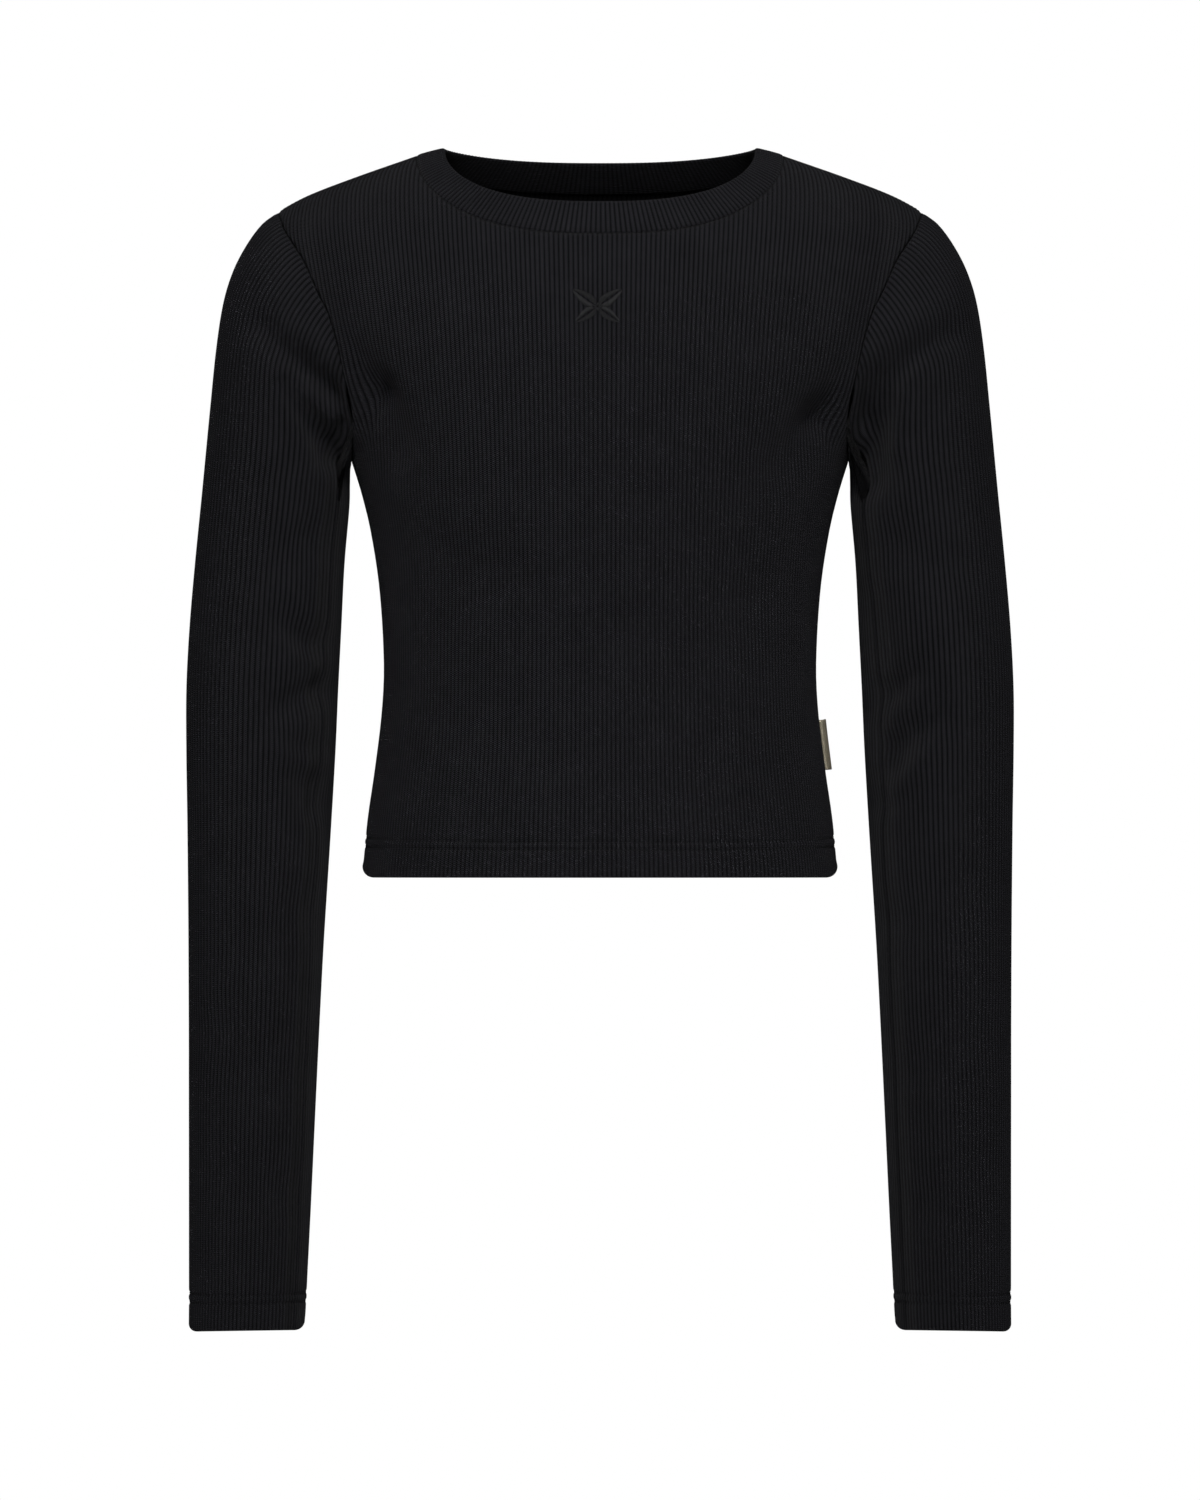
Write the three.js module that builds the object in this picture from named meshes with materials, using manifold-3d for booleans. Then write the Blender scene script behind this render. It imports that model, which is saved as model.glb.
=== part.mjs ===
// Cropped rib-knit top with long sleeves, filled out as when it is worn, with nothing inside.
// Millimetres, +Z up, front towards -Y. The origin is on the centre plane at the level of the
// high points of the shoulders. Neck, hem and cuffs are open, and every piece is a thin wall.
import * as THREE from 'three';
import { mergeVertices } from 'three/addons/utils/BufferGeometryUtils.js';
import Module from 'manifold-3d';

const wasm = await Module();
wasm.setup();

// Cloth
const cloth = 1.2;             // single knit, without the raised ribs
const turnedHem = 2.2;         // hem and cuffs, cloth turned up once
const foldedBand = 2.3;        // neckband, cloth folded in half
const hemHeight = 18;
const hemStep = 1;             // the turned edge thins to single cloth within this height
const ribPitch = 2.2;          // one rib at the waist, on a stretched panel a little more
const ribRaise = 0.6;
const seamGap = 0.3;           // clearance between two pieces that are sewn together

// Landmarks of the body
const hemLevel = -364.5;
const underarm = { x: 123.6, z: -157 };
const shoulderTip = { x: 160.5, z: -33 };
const armholeReach = 48;       // from the shoulder line to the seam, front and back
const armholeEgg = 0.15;       // how much fuller the lower half of the armhole is
const topOfBody = -1;          // where the rings of the body end, above the neckline
const cutMargin = 4;           // how far the panels run on past the neckline before it is cut

// Neckline, and the upper edge of the band above it. Half width, level beside the neck, drop to
// the centre front and back, and how square the curve is across and down.
const neckline = { half: 91.5, level: -4.4, frontDrop: 39.6, backDrop: 17.4, across: 2.6, down: 1.85 };
const bandEdge = { half: 77.3, level: -0.6, frontDrop: 27.4, backDrop: 6.4, across: 2.6, down: 2 };
const bandNarrowing = 0.9;     // depth of the band's upper edge against its seam

// Half width of the body at the side seams
const sideSeam = [
  { z: -364.5, half: 118.6 },
  { z: -341, half: 116.2 },
  { z: -311, half: 112.2 },
  { z: -281, half: 108.7 },
  { z: -258, half: 107.7 },
  { z: -221, half: 109.8 },
  { z: -191, half: 114.3 },
  { z: -171, half: 119.2 },
  { z: -157, half: 123.6 },
];

// Half width of the body at the shoulder seams
const shoulderSeam = [
  { z: -33, half: 160.5 },
  { z: -30.5, half: 157.6 },
  { z: -23.5, half: 144.3 },
  { z: -15, half: 122.4 },
  { z: -5, half: 93.8 },
  { z: 0, half: 79.5 },
];

// Distance of the armhole seam from the centre plane
const armholeSeam = [
  { z: -157, x: 123.6 },
  { z: -147, x: 122.8 },
  { z: -130, x: 123.2 },
  { z: -113, x: 126.8 },
  { z: -98, x: 130 },
  { z: -83, x: 134.6 },
  { z: -73, x: 139.6 },
  { z: -58, x: 146.4 },
  { z: -42, x: 156.6 },
  { z: -33, x: 160.5 },
];

// Depth of the front and back from the shoulder line, and the fullness of the rounded section
const bodyDepths = [
  { z: -364.5, front: 90, back: 84, fullness: 2.3 },
  { z: -311, front: 88, back: 78, fullness: 2.28 },
  { z: -258, front: 86, back: 73, fullness: 2.25 },
  { z: -206, front: 88, back: 76, fullness: 2.22 },
  { z: -157, front: 90, back: 80, fullness: 2.2 },
  { z: -130, front: 89.5, back: 83, fullness: 2.13 },
  { z: -100, front: 87, back: 84, fullness: 2.05 },
  { z: -70, front: 80, back: 79, fullness: 1.9 },
  { z: -45, front: 70, back: 68.5, fullness: 1.74 },
  { z: -33, front: 63, back: 60.5, fullness: 1.66 },
  { z: -15, front: 48, back: 45, fullness: 1.6 },
  { z: 0, front: 31, back: 29, fullness: 1.6 },
];

// How far the knit is stretched sideways at each level
const knitStretch = [
  { z: -364.5, factor: 1.05 },
  { z: -330, factor: 1.02 },
  { z: -250, factor: 0.98 },
  { z: -157, factor: 1 },
  { z: -100, factor: 1.035 },
  { z: -45, factor: 1.09 },
  { z: 0, factor: 1.14 },
];

// Sleeve sections from the armhole to the cuff: outer and inner point seen from the front, half
// depth, forward bend, share of the armhole's own curve, and share of the ribs' height
const sleeveSections = [
  { outerX: 161, outerZ: -33.1, innerX: 124.5, innerZ: -157.1, depth: 48, bend: 0, seam: 1, rib: 0 },
  { outerX: 168.3, outerZ: -38.8, innerX: 124.6, innerZ: -157.7, depth: 47.4, bend: 0, seam: 0.8, rib: 0.6 },
  { outerX: 175.8, outerZ: -48.8, innerX: 124.7, innerZ: -158.4, depth: 46.6, bend: 0, seam: 0.55, rib: 1 },
  { outerX: 182.4, outerZ: -61.3, innerX: 124.8, innerZ: -159.3, depth: 45.6, bend: 0, seam: 0.32, rib: 1 },
  { outerX: 187.3, outerZ: -76.5, innerX: 124.9, innerZ: -160.6, depth: 44.6, bend: 0, seam: 0.14, rib: 1 },
  { outerX: 190.9, outerZ: -98.5, innerX: 125, innerZ: -162.8, depth: 43.4, bend: -0.3, seam: 0.04, rib: 1 },
  { outerX: 194.1, outerZ: -129, innerX: 125.1, innerZ: -168.5, depth: 42, bend: -0.8, seam: 0, rib: 1 },
  { outerX: 198.2, outerZ: -171, innerX: 125.4, innerZ: -180, depth: 40.8, bend: -1.6, seam: 0, rib: 1 },
  { outerX: 201.9, outerZ: -208, innerX: 127.8, innerZ: -208, depth: 40, bend: -3, seam: 0, rib: 1 },
  { outerX: 204.6, outerZ: -240, innerX: 129.4, innerZ: -240, depth: 39, bend: -4.8, seam: 0, rib: 1 },
  { outerX: 206.1, outerZ: -270, innerX: 130.9, innerZ: -270, depth: 38, bend: -6.6, seam: 0, rib: 1 },
  { outerX: 206.1, outerZ: -300, innerX: 132.2, innerZ: -300, depth: 37, bend: -8.6, seam: 0, rib: 1 },
  { outerX: 205.5, outerZ: -340, innerX: 134.5, innerZ: -340, depth: 35.6, bend: -11, seam: 0, rib: 1 },
  { outerX: 204.9, outerZ: -410, innerX: 138.8, innerZ: -410, depth: 33.4, bend: -15, seam: 0, rib: 1 },
  { outerX: 204.7, outerZ: -573, innerX: 146.6, innerZ: -573, depth: 28.7, bend: -22.2, seam: 0, rib: 1 },
  { outerX: 204.8, outerZ: -591, innerX: 147.6, innerZ: -591, depth: 28.4, bend: -23, seam: 0, rib: 1 },
];

// The largest folds as soft troughs, from one point to another as seen from the front. Face -1 is
// the front and 1 the back. Negative depths are ridges.
const bodyFolds = [
  { face: -1, x1: -122, z1: -100, x2: -104, z2: -140, width: 15, depth: 3.4 },
  { face: -1, x1: 122, z1: -116, x2: 94, z2: -152, width: 16, depth: 3.2 },
  { face: 1, x1: -121, z1: -104, x2: -100, z2: -142, width: 16, depth: 3 },
  { face: 1, x1: 121, z1: -108, x2: 102, z2: -146, width: 15, depth: 3.2 },
];
const sleeveFolds = [
  { face: -1, x1: -160, z1: -100, x2: -128, z2: -130, width: 9, depth: 4 },
  { face: -1, x1: -155, z1: -126, x2: -135, z2: -152, width: 8, depth: 3.4 },
  { face: -1, x1: -134, z1: -214, x2: -158, z2: -240, width: 13, depth: 3.2 },
  { face: -1, x1: -136, z1: -272, x2: -162, z2: -286, width: 12, depth: 3.6 },
  { face: -1, x1: -138, z1: -318, x2: -160, z2: -338, width: 14, depth: 3 },
  { face: -1, x1: 168, z1: -92, x2: 140, z2: -116, width: 9, depth: 3.4 },
  { face: -1, x1: 138, z1: -124, x2: 134, z2: -158, width: 8, depth: 2.4 },
  { face: -1, x1: 140, z1: -262, x2: 160, z2: -268, width: 12, depth: 3.8 },
  { face: -1, x1: 142, z1: -300, x2: 164, z2: -290, width: 11, depth: 3.2 },
  { face: -1, x1: 140, z1: -322, x2: 164, z2: -340, width: 12, depth: 3 },
  { face: 1, x1: -158, z1: -104, x2: -130, z2: -134, width: 10, depth: 3.6 },
  { face: 1, x1: -140, z1: -244, x2: -166, z2: -262, width: 14, depth: 2.6 },
  { face: 1, x1: 160, z1: -100, x2: 134, z2: -132, width: 10, depth: 3 },
  { face: 1, x1: 138, z1: -250, x2: 166, z2: -240, width: 14, depth: 2.6 },
];

// Levels of the panels' rows below the underarm, and shares of the height above it
const hemTop = hemLevel + hemHeight;
const lowerRows = [hemLevel, hemTop, -314, -264, -205, underarm.z];
const upperRows = [0.1, 0.32, 0.58, 0.8, 0.93, 1];

// Spacing of the points: raised and sunk columns of the outside, and the plain inside
const widestRib = 80;          // ribs from the centre line to past the widest place
const insideStep = 10;         // columns of the outside to each column of the inside
const sleeveColumns = 84;
const sleeveInsideStep = 4;
const bandColumns = 200;
const bandInsideStep = 4;
const fadeAtUnderarm = 16;     // ribs sink into the cloth this near to the underarm
const foldsEnd = 14;           // folds of the body fade out within this distance of the armhole

// A piecewise cubic through one column of a table, straight past its ends.
function smoothColumn(table, name) {
  const rows = [...table].sort((a, b) => a.z - b.z);
  const last = rows.length - 1;
  const slope = (i) => {
    const low = rows[Math.max(i - 1, 0)];
    const high = rows[Math.min(i + 1, last)];
    return (high[name] - low[name]) / (high.z - low.z);
  };
  return (z) => {
    if (z <= rows[0].z) return rows[0][name] + slope(0) * (z - rows[0].z);
    if (z >= rows[last].z) return rows[last][name] + slope(last) * (z - rows[last].z);
    const i = rows.findIndex((row) => row.z > z) - 1;
    const span = rows[i + 1].z - rows[i].z;
    const t = (z - rows[i].z) / span;
    const rise = rows[i + 1][name] - rows[i][name];
    const bow = (1 - t) * (slope(i) * span - rise) - t * (slope(i + 1) * span - rise);
    return rows[i][name] + t * rise + t * (1 - t) * bow;
  };
}

const sideHalf = smoothColumn(sideSeam, 'half');
const shoulderHalf = smoothColumn(shoulderSeam, 'half');
const armholeX = smoothColumn(armholeSeam, 'x');
const depthOf = { [-1]: smoothColumn(bodyDepths, 'front'), 1: smoothColumn(bodyDepths, 'back') };
const fullness = smoothColumn(bodyDepths, 'fullness');
const stretch = smoothColumn(knitStretch, 'factor');

// The armhole seen from the side is an egg-shaped oval round this middle.
const armholeMiddle = (shoulderTip.z + underarm.z) / 2;
const armholeHalf = (shoulderTip.z - underarm.z) / 2;

function armholeDepth(cosine) {
  return armholeReach * Math.sqrt(Math.max(0, 1 - cosine ** 2)) * (1 - armholeEgg * cosine);
}

// Half of a level section through the body, as a row of points from the centre to the side with
// the length along it. Between underarm and shoulder tip its side lies past the armhole seam.
const sectionCache = new Map();
function sectionAt(face, z) {
  const key = `${face} ${z.toFixed(3)}`;
  if (sectionCache.has(key)) return sectionCache.get(key);
  const depth = depthOf[face](z);
  const power = fullness(z);
  let half;
  if (z >= shoulderTip.z) half = shoulderHalf(z);
  else if (z <= underarm.z) half = sideHalf(z);
  else {
    const reach = armholeDepth((z - armholeMiddle) / armholeHalf) / depth;
    half = armholeX(z) / (1 - reach ** power) ** (1 / power);
  }
  const steps = 120;
  const points = [];
  let length = 0;
  for (let i = 0; i <= steps; i += 1) {
    const angle = (Math.PI / 2) * (i / steps);
    const x = half * Math.sin(angle) ** (2 / power);
    const y = face * depth * Math.max(0, Math.cos(angle)) ** (2 / power);
    if (i) length += Math.hypot(x - points[i - 1].x, y - points[i - 1].y);
    points.push({ x, y, length });
  }
  const section = { half, depth, power, points, length };
  sectionCache.set(key, section);
  return section;
}

// Number of ribs from the centre line to the side at one level.
function ribsAt(face, z) {
  return sectionAt(face, z).length / (ribPitch * stretch(z));
}

function insideness(section, x, y) {
  return (Math.abs(x) / section.half) ** section.power + (Math.abs(y) / section.depth) ** section.power;
}

function foldDepth(folds, face, x, z) {
  let depth = 0;
  for (const fold of folds) {
    if (fold.face !== face) continue;
    const dx = fold.x2 - fold.x1;
    const dz = fold.z2 - fold.z1;
    const t = THREE.MathUtils.clamp(((x - fold.x1) * dx + (z - fold.z1) * dz) / (dx * dx + dz * dz), 0, 1);
    const away = Math.hypot(x - fold.x1 - t * dx, z - fold.z1 - t * dz);
    depth += fold.depth * Math.exp(-((away / fold.width) ** 2));
  }
  return depth;
}

function bodyNormal(face, { x, y, z }) {
  const { half, depth, power } = sectionAt(face, z);
  const rise = insideness(sectionAt(face, z + 1), x, y) - insideness(sectionAt(face, z - 1), x, y);
  return new THREE.Vector3(
    (Math.sign(x) * (Math.abs(x) / half) ** (power - 1)) / half,
    (face * (Math.abs(y) / depth) ** (power - 1)) / depth,
    rise / 2 / power,
  ).normalize();
}

// A point on the outside of the body without its ribs: rib number and level to place and normal.
function bodyPoint(face, rib, z) {
  const section = sectionAt(face, z);
  const along = Math.min(Math.abs(rib) * ribPitch * stretch(z), section.length);
  let i = section.points.findIndex((point) => point.length >= along);
  i = Math.max(i, 1);
  const a = section.points[i - 1];
  const b = section.points[i];
  const t = THREE.MathUtils.clamp((along - a.length) / (b.length - a.length), 0, 1);
  const place = new THREE.Vector3(Math.sign(rib) * (a.x + t * (b.x - a.x)), a.y + t * (b.y - a.y), z);
  const normal = bodyNormal(face, place);
  const fromArmhole = THREE.MathUtils.smoothstep(armholeX(z) - Math.abs(place.x), 0, foldsEnd);
  const sunk = foldDepth(bodyFolds, face, place.x, z) * Math.abs(normal.y) * fromArmhole;
  place.addScaledVector(normal, -sunk);
  return { place, normal };
}

// Highest level that a rib reaches: the shoulder seam, or a little above the neckline.
function topOfRib(face, rib) {
  const number = Math.abs(rib);
  if (number >= ribsAt(face, shoulderTip.z)) return shoulderTip.z;
  let low = -80;
  let high = topOfBody;
  for (let i = 0; i < 20; i += 1) {
    const middle = (low + high) / 2;
    const x = Math.abs(bodyPoint(face, number, middle).place.x);
    const neck = neckLevel(neckline, face, Math.min(1, x / neckline.half)) + cutMargin;
    if (number <= ribsAt(face, middle) && middle <= neck) low = middle;
    else high = middle;
  }
  return low;
}

// The rib number at which one row meets the panel's side.
function endOfRow(face, level) {
  let number = 40;
  while (number < ribsAt(face, level(number))) number += 0.05;
  return number;
}

function panelRows() {
  const rows = lowerRows.map((z) => ({ level: () => () => z, z }));
  for (const share of upperRows) {
    const level = (face) => (rib) => underarm.z + share * (topOfRib(face, rib) - underarm.z);
    rows.push({ level, share });
  }
  return rows;
}

// Points of one side of a panel, row by row. Ribs past the side end together on the seam.
function panelGrid(face, columns, rows, offset) {
  return rows.map((row) => {
    const level = row.level(face);
    const end = row.share === 1 ? ribsAt(face, shoulderTip.z) : endOfRow(face, level);
    return columns.map((column) => {
      const onSeam = Math.abs(column) > end - 0.35;
      const rib = onSeam ? Math.sign(column) * end : column;
      const z = level(rib);
      const { place, normal } = bodyPoint(face, rib, z);
      const point = place.addScaledVector(normal, offset(column, onSeam, place, row));
      const onShoulder = row.share === 1 && Math.abs(rib) >= ribsAt(face, z) - 0.01;
      if (onSeam || onShoulder) point.y = (face * seamGap) / 2;
      return { at: column, point };
    });
  });
}

// A closed shell that is filled up with triangles, where points in one place become one.
class Shell {
  constructor() {
    this.points = [];
    this.triangles = [];
    this.known = new Map();
  }

  vertex(point) {
    const key = point.toArray().map((value) => Math.round(value * 500)).join(' ');
    if (!this.known.has(key)) {
      this.known.set(key, this.points.length);
      this.points.push(point.toArray());
    }
    return this.known.get(key);
  }

  triangle(a, b, c) {
    const [i, j, k] = [a, b, c].map((corner) => this.vertex(corner.point));
    if (i !== j && j !== k && k !== i) this.triangles.push([i, j, k]);
  }

  // A face of rows and columns of points, seen from outside or from inside.
  sheet(grid, outward) {
    for (let r = 0; r + 1 < grid.length; r += 1) {
      for (let c = 0; c + 1 < grid[r].length; c += 1) {
        const [a, b, d, e] = [grid[r][c], grid[r][c + 1], grid[r + 1][c + 1], grid[r + 1][c]];
        if (outward) {
          this.triangle(a, b, d);
          this.triangle(a, d, e);
        } else {
          this.triangle(a, d, b);
          this.triangle(a, e, d);
        }
      }
    }
  }

  // The narrow face between an edge of the outside and the same edge of the inside.
  edge(outside, inside) {
    let i = 0;
    let j = 0;
    while (i < outside.length - 1 || j < inside.length - 1) {
      const outsideLeft = i < outside.length - 1;
      if (outsideLeft && (j === inside.length - 1 || outside[i + 1].at <= inside[j + 1].at)) {
        this.triangle(outside[i + 1], outside[i], inside[j]);
        i += 1;
      } else {
        this.triangle(inside[j], inside[j + 1], outside[i]);
        j += 1;
      }
    }
  }

  solid() {
    const vertProperties = new Float32Array(this.points.flat());
    const triVerts = new Uint32Array(this.triangles.flat());
    const mesh = new wasm.Mesh({ numProp: 3, vertProperties, triVerts });
    const solid = new wasm.Manifold(mesh);
    if (solid.volume() > 0) return solid;
    return this.turned().solid();
  }

  turned() {
    const other = new Shell();
    other.points = this.points;
    other.triangles = this.triangles.map(([a, b, c]) => [a, c, b]);
    return other;
  }
}

const backwards = (line) => [...line].reverse().map(({ at, point }) => ({ at: -at, point }));
const sideOf = (grid, rows, index) => grid.map((row, r) => ({ at: rows[r], point: row.at(index).point }));

// A wall between two grids of points. A tube's grids end with the column that they start with.
function wall(outside, inside, outsideRows, insideRows, isTube) {
  const shell = new Shell();
  shell.sheet(outside, true);
  shell.sheet(inside, false);
  shell.edge(outside[0], inside[0]);
  shell.edge(backwards(outside.at(-1)), backwards(inside.at(-1)));
  if (!isTube) {
    shell.edge(sideOf(outside, outsideRows, -1), sideOf(inside, insideRows, -1));
    shell.edge(backwards(sideOf(outside, outsideRows, 0)), backwards(sideOf(inside, insideRows, 0)));
  }
  return shell.solid();
}

// A straight prism between two copies of an outline, to cut with.
function prism(outline, lift) {
  const loop = [...outline, outline[0]];
  const ends = [0, 1].map((end) => loop.map((point, at) => ({ at, point: lift(point, end) })));
  const shell = new Shell();
  shell.sheet(ends, true);
  const flat = outline.map((point) => new THREE.Vector2(point.u, point.v));
  const turn = Math.sign(THREE.ShapeUtils.area(flat));
  for (const [a, b, c] of THREE.ShapeUtils.triangulateShape(flat, [])) {
    const alongLoop = Math.sign(THREE.ShapeUtils.area([flat[a], flat[b], flat[c]])) === turn;
    const [far, near] = alongLoop ? [[a, b, c], [a, c, b]] : [[a, c, b], [a, b, c]];
    shell.triangle(...near.map((i) => ends[0][i]));
    shell.triangle(...far.map((i) => ends[1][i]));
  }
  return shell.solid();
}

// A plug that fills an armhole, cut square to the cloth all along the seam.
function armholeCutter(side) {
  const reach = 12;
  const far = 260;
  const count = sleeveColumns / 2;
  const seam = [];
  for (let i = 0; i < count; i += 1) {
    const angle = (2 * Math.PI * i) / count;
    const z = armholeMiddle + armholeHalf * Math.cos(angle);
    seam.push(new THREE.Vector3(armholeX(z), -Math.sign(Math.sin(angle)) * armholeDepth(Math.cos(angle)), z));
  }
  const rings = [[], [], []];
  seam.forEach((point, i) => {
    const normal = bodyNormal(point.y > 0 ? 1 : -1, point);
    const along = seam[(i + 1) % count].clone().sub(seam[(i + count - 1) % count]);
    const away = along.cross(normal).normalize();
    if (away.y * point.y + away.z * (point.z - armholeMiddle) < 0) away.negate();
    const edge = point.clone().addScaledVector(away, seamGap);
    rings[0].push(edge.clone().addScaledVector(normal, -reach));
    rings[1].push(edge.clone().addScaledVector(normal, reach));
    rings[2].push(rings[1][i].clone().setX(far));
  });
  const shell = new Shell();
  const loops = rings.map((ring) => [...ring, ring[0]].map((point, at) => {
    const place = point.clone();
    place.x *= side;
    return { at, point: place };
  }));
  shell.sheet(loops, true);
  const centre = (x) => ({ point: new THREE.Vector3(side * x, 0, armholeMiddle) });
  const [near, last] = [loops[0], loops.at(-1)];
  for (let i = 0; i < count; i += 1) {
    shell.triangle(near[i + 1], near[i], centre(underarm.x));
    shell.triangle(last[i], last[i + 1], centre(far));
  }
  return shell.solid();
}

// Level of a neck curve at a share of its half width.
function neckLevel(curve, face, share) {
  const drop = face < 0 ? curve.frontDrop : curve.backDrop;
  const rise = Math.max(0, 1 - Math.abs(share) ** curve.across);
  return curve.level - drop * rise ** (1 / curve.down);
}

function neckCutter(face) {
  const outline = [];
  const count = 90;
  const aboveAll = 40;
  for (let i = 0; i <= count; i += 1) {
    const share = -Math.cos((Math.PI * i) / count);
    outline.push({ u: neckline.half * share, v: neckLevel(neckline, face, share) });
  }
  outline.push({ u: neckline.half, v: aboveAll }, { u: -neckline.half, v: aboveAll });
  const near = face * 0.05;
  const far = face * 140;
  return prism(outline, (point, end) => new THREE.Vector3(point.u, end ? far : near, point.v));
}

function underarmFade(place) {
  const away = Math.hypot(Math.abs(place.x) - underarm.x, place.y, place.z - underarm.z);
  return THREE.MathUtils.smoothstep(away, fadeAtUnderarm / 3, fadeAtUnderarm);
}

function panel(face) {
  const every = (step) => {
    const columns = [];
    for (let column = -widestRib; column <= widestRib; column += step) columns.push(column);
    return columns;
  };
  const rows = panelRows();
  const insideRows = [...rows];
  insideRows.splice(2, 0, { level: () => () => hemTop + hemStep, z: hemTop + hemStep });
  const raise = (column, onSeam, place) => {
    if (onSeam || column % 2) return 0;
    return ribRaise * underarmFade(place);
  };
  const sink = (column, onSeam, place, row) => (row.z <= hemTop ? -turnedHem : -cloth);
  const outside = panelGrid(face, every(1), rows, raise);
  const inside = panelGrid(face, every(insideStep), insideRows, sink);
  const height = (row) => row.z ?? underarm.z + row.share * (shoulderTip.z - underarm.z);
  let solid = wall(outside, inside, rows.map(height), insideRows.map(height), false);
  solid = solid.subtract(neckCutter(face));
  for (const side of [-1, 1]) solid = solid.subtract(armholeCutter(side));
  return solid;
}

// A point of a sleeve without ribs. The angle starts at the shoulder and turns over the front.
function sleevePoint(side, section, angle, inset) {
  const outer = new THREE.Vector3(section.outerX, 0, section.outerZ);
  const inner = new THREE.Vector3(section.innerX, 0, section.innerZ);
  const middle = outer.clone().add(inner).multiplyScalar(0.5);
  const across = outer.clone().sub(inner).multiplyScalar(0.5);
  const half = across.length();
  across.normalize();
  const cosine = Math.cos(angle);
  const sine = Math.sin(angle);
  const egg = 1 - armholeEgg * section.seam * cosine;
  const point = middle.addScaledVector(across, (half - inset) * cosine);
  point.y = section.bend - (section.depth - inset) * sine * egg;
  const level = armholeMiddle + armholeHalf * cosine;
  const share = (level - underarm.z) / (shoulderTip.z - underarm.z);
  const straight = underarm.x + share * (shoulderTip.x - underarm.x);
  point.x += section.seam * (armholeX(level) - straight);
  const face = sine > 0 ? -1 : 1;
  const sunk = foldDepth(sleeveFolds, face, side * point.x, point.z) * Math.abs(sine) * (1 - section.seam);
  point.y -= face * sunk;
  point.x *= side;
  return point;
}

function sleeve(side) {
  const grid = (sections, step, inset) => sections.map((section) => {
    const ring = [];
    for (let column = 0; column <= sleeveColumns; column += step) {
      const angle = (2 * Math.PI * (column % sleeveColumns)) / sleeveColumns;
      ring.push({ at: column, point: sleevePoint(side, section, angle, inset(section, column, angle)) });
    }
    return ring;
  });
  const raise = (section, column, angle) => {
    if (column % 2) return 0;
    const plain = sleevePoint(side, section, angle, 0);
    return -ribRaise * section.rib * underarmFade(plain);
  };
  const cuffTop = sleeveSections.at(-1).outerZ + hemHeight;
  const sink = (section) => (section.outerZ <= cuffTop ? turnedHem : cloth);
  const single = { ...sleeveSections.at(-2) };
  single.outerZ += hemStep;
  single.innerZ += hemStep;
  const insideSections = [...sleeveSections.slice(0, -2), single, ...sleeveSections.slice(-2)];
  const outside = grid(sleeveSections, 1, raise);
  const inside = grid(insideSections, sleeveInsideStep, sink);
  return wall(outside, inside, [], [], true);
}

// The band stands on the neckline and leans in to its upper edge.
function bandPoint(face, share) {
  const seamLevel = neckLevel(neckline, face, share);
  const section = sectionAt(face, seamLevel);
  const x = neckline.half * share;
  const rest = Math.max(0, 1 - (Math.abs(x) / section.half) ** section.power);
  const y = face * section.depth * rest ** (1 / section.power);
  const seam = new THREE.Vector3(x, y, seamLevel);
  const top = new THREE.Vector3(bandEdge.half * share, y * bandNarrowing, neckLevel(bandEdge, face, share));
  return { seam, top };
}

function bandLoop(count) {
  const fine = [];
  const steps = 400;
  let length = 0;
  for (let i = 0; i <= steps; i += 1) {
    const angle = (2 * Math.PI * i) / steps;
    const face = angle < Math.PI ? -1 : 1;
    const points = bandPoint(face, Math.cos(angle));
    if (i) length += points.seam.distanceTo(fine[i - 1].seam);
    fine.push({ ...points, length });
  }
  const loop = [];
  let i = 1;
  for (let column = 0; column < count; column += 1) {
    const along = (length * column) / count;
    while (fine[i].length < along) i += 1;
    const t = (along - fine[i - 1].length) / (fine[i].length - fine[i - 1].length);
    loop.push({
      seam: fine[i - 1].seam.clone().lerp(fine[i].seam, t),
      top: fine[i - 1].top.clone().lerp(fine[i].top, t),
    });
  }
  return loop;
}

function neckband() {
  const loop = bandLoop(bandColumns);
  const outside = [[], []];
  const inside = [[], []];
  for (let column = 0; column <= bandColumns; column += 1) {
    const { seam, top } = loop[column % bandColumns];
    const before = loop[(column + bandColumns - 1) % bandColumns].seam;
    const after = loop[(column + 1) % bandColumns].seam;
    const tangent = after.clone().sub(before).normalize();
    const rise = top.clone().sub(seam).normalize();
    const outward = rise.clone().cross(tangent).normalize();
    if (outward.y * seam.y + outward.x * seam.x < 0 && Math.abs(seam.y) > 1) outward.negate();
    if (outward.z < 0) outward.negate();
    const towardsNeck = new THREE.Vector3(-tangent.z, 0, tangent.x);
    if (towardsNeck.dot(rise) < 0) towardsNeck.negate();
    towardsNeck.normalize();
    const low = seam.clone().addScaledVector(towardsNeck, seamGap);
    const raise = column % 2 ? 0 : ribRaise;
    outside[0].push({ at: column, point: low.clone().addScaledVector(outward, raise * 0.5) });
    outside[1].push({ at: column, point: top.clone().addScaledVector(outward, raise) });
    if (column % bandInsideStep) continue;
    const inward = outward.clone().negate();
    const flat = inward.clone().addScaledVector(towardsNeck, -inward.dot(towardsNeck)).normalize();
    const clear = low.clone().addScaledVector(towardsNeck, seamGap);
    inside[0].push({ at: column, point: clear.addScaledVector(flat, foldedBand) });
    inside[1].push({ at: column, point: top.clone().addScaledVector(inward, foldedBand) });
  }
  return wall(outside, inside, [], [], true);
}

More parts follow.
